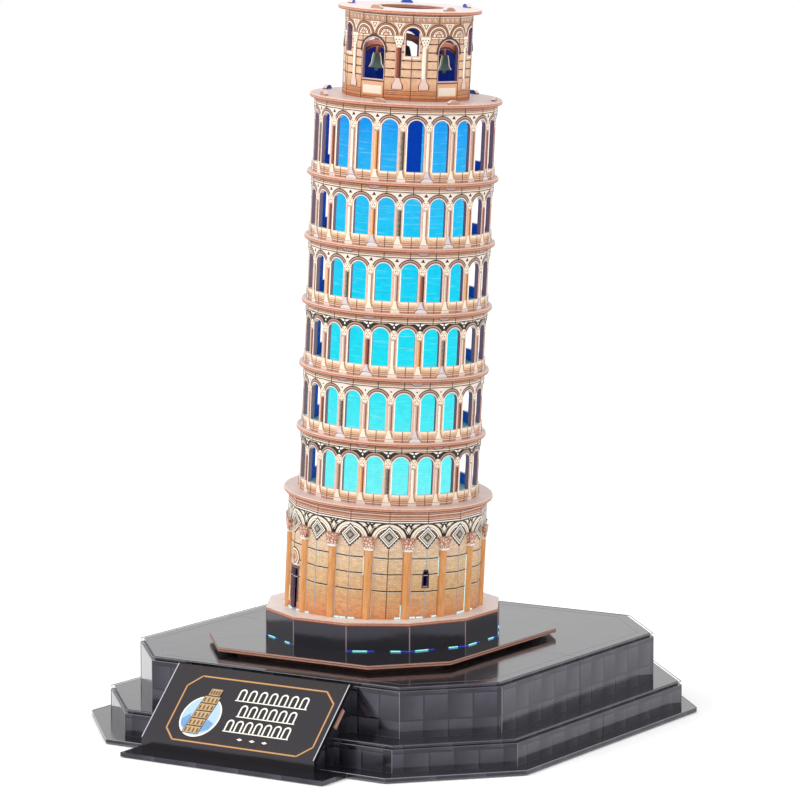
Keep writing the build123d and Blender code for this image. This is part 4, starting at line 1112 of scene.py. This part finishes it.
# rows of plain arcading in place of a title
for row, (u0, u1, v, h) in enumerate(((-10.5, 24.5, 22.8, 5.4), (-6.5, 22.0, 15.4, 5.4), (-9.5, 22.5, 8.0, 5.4))):
    n = int((u1 - u0) / 4.4)
    for i in range(n):
        c = u0 + (u1 - u0) * (i + 0.5) / n
        pr.arc(lab, c, v + h - 1.75, 1.05, 1.75, 0, 180, IVORY, 0.06, n=12)
        pr.rect(lab, c - 1.75, c - 1.05, v, v + h - 1.72, IVORY, 0.06)
        pr.rect(lab, c + 1.05, c + 1.75, v, v + h - 1.72, IVORY, 0.06)
    pr.rect(lab, u0 + 0.2, u1 - 0.2, v - 0.55, v - 0.1, IVORY, 0.06)
for u in (0.5, 6.5, 12.5):
    pr.poly(lab, [(u - 1.4, 4.6), (u, 4.0), (u + 1.4, 4.6), (u, 5.2)], IVORY, 0.06)
pr.line(lab, [(LAB_X0 + 0.35, 0.0), (LAB_X0 + 0.35, SL)], 0.45, SILVER, 0.05)
pr.line(lab, [(LAB_X1 - 0.35, 0.0), (LAB_X1 - 0.35, SL)], 0.45, SILVER, 0.05)
pr.done()

# ---------------------------------------------------------------- plinth folds and light leaks
pr = Print("plinth_folds")
for i in range(PLINTH_N):
    t = math.radians(15 + 30 * i)
    x, y = AX + (PLINTH_R - 0.05) * math.cos(t), AY + (PLINTH_R - 0.05) * math.sin(t)
    bar((x, y, Z_FOOT), (x, y, Z_CAP - T), 0.55, ink("fold_pink", (150, 126, 130), 0.2))
pr.done()

pr = Print("light_leaks")


def plinth_pt(i, f, z, out=0.0):
    """Point on plinth wall i (between corners i and i+1) at fraction f."""
    r = PLINTH_R + out
    a, b = math.radians(15 + 30 * i), math.radians(15 + 30 * (i + 1))
    return Vector((AX + r * (math.cos(a) * (1 - f) + math.cos(b) * f), AY + r * (math.sin(a) * (1 - f) + math.sin(b) * f), z))


rs = random.Random(11)
for i in range(PLINTH_N):
    if rs.random() < 0.8:
        bar(plinth_pt(i, 0.0, Z_FOOT + 0.26, 0.03), plinth_pt(i, 0.44, Z_FOOT + 0.26, 0.03), 0.30, BLUE)
        bar(plinth_pt(i, 0.10, Z_FOOT + 0.28, 0.06), plinth_pt(i, 0.33, Z_FOOT + 0.28, 0.06), 0.46, CYAN)
    if rs.random() < 0.8:
        bar(plinth_pt(i, 0.68, Z_FOOT + 0.26, 0.03), plinth_pt(i, 1.0, Z_FOOT + 0.26, 0.03), 0.30, BLUE)
        bar(plinth_pt(i, 0.70, Z_FOOT + 0.28, 0.06), plinth_pt(i, 0.86, Z_FOOT + 0.28, 0.06), 0.46, CYAN)
for i in range(GROUND_N):
    ap = GROUND_R * math.cos(math.pi / GROUND_N)
    for s in (-1, 1):
        a = 22.5 * i
        for u0, u1 in ((2.1, 4.4), (4.9, 7.6)):
            if rs.random() < 0.42:
                p, q = tower(a, ap + 0.1, 0, s * u0), tower(a, ap + 0.1, 0, s * u1)
                p.z = q.z = Z_CAP + 0.42
                bar(p, q, 0.7, LEAK)
        if rs.random() < 0.45:
            z0, z1 = rs.choice(((1.5, 8.0), (3.0, 27.0), (20.0, 28.0)))
            bar(tower(a, ap + 0.05, z0, s * 2.05), tower(a, ap + 0.05, z1, s * 2.05), 0.34, LEAK)
pr.done()

# ---------------------------------------------------------------- floor, light, camera
me = bpy.data.meshes.new("floor")
S = 6.0
me.from_pydata([(-S, -S, -0.0004), (S, -S, -0.0004), (S, S, -0.0004), (-S, S, -0.0004)], [], [[0, 1, 2, 3]])
g = G("floor_pale")
me.materials.append(g.end(g.mul((0.97, 0.97, 0.97), g.ramp(g.noise(0.004), [(0.3, 0.99), (0.7, 1.0)])), 0.95, 0.0,
                        emit=(1.0, 1.0, 1.0), strength=0.10))
floor = bpy.data.objects.new("floor", me)
sc.collection.objects.link(floor)

w = bpy.data.worlds.new("studio")
sc.world = w
w.use_nodes = True
bg = w.node_tree.nodes["Background"]
bg.inputs[0].default_value = (1.0, 1.0, 1.0, 1.0)
bg.inputs[1].default_value = 1.0


def area(name, loc, target, size, power, color=(1, 1, 1)):
    d = bpy.data.lights.new(name, "AREA")
    d.shape, d.size, d.energy, d.color = "SQUARE", size, power, color
    o = bpy.data.objects.new(name, d)
    o.location = loc
    o.rotation_euler = (Vector(target) - Vector(loc)).to_track_quat("-Z", "Y").to_euler()
    sc.collection.objects.link(o)
    return o


area("key", (-1.1, -1.2, 1.3), (0, 0, 0.12), 0.9, 14.0)
area("fill", (1.4, -0.9, 0.8), (0, 0, 0.12), 0.9, 4.0)

cam = bpy.data.cameras.new("camera")
cam.lens, cam.sensor_width = 166.2, 36.0
cam.clip_start, cam.clip_end = 0.05, 30.0
co = bpy.data.objects.new("camera", cam)
yaw, pitch, dist = math.radians(32.39), math.radians(7.09), 1.555
tgt = Vector((0.00166, 0.0098, 0.1341))
back = Vector((math.sin(yaw) * math.cos(pitch), -math.cos(yaw) * math.cos(pitch), math.sin(pitch)))
co.location = tgt + back * dist
co.rotation_euler = (-back).to_track_quat("-Z", "Y").to_euler()
sc.collection.objects.link(co)
sc.camera = co
sc.view_settings.view_transform = "Standard"
sc.view_settings.look = "None"
sc.view_settings.exposure = 0.0
sc.view_settings.gamma = 1.0
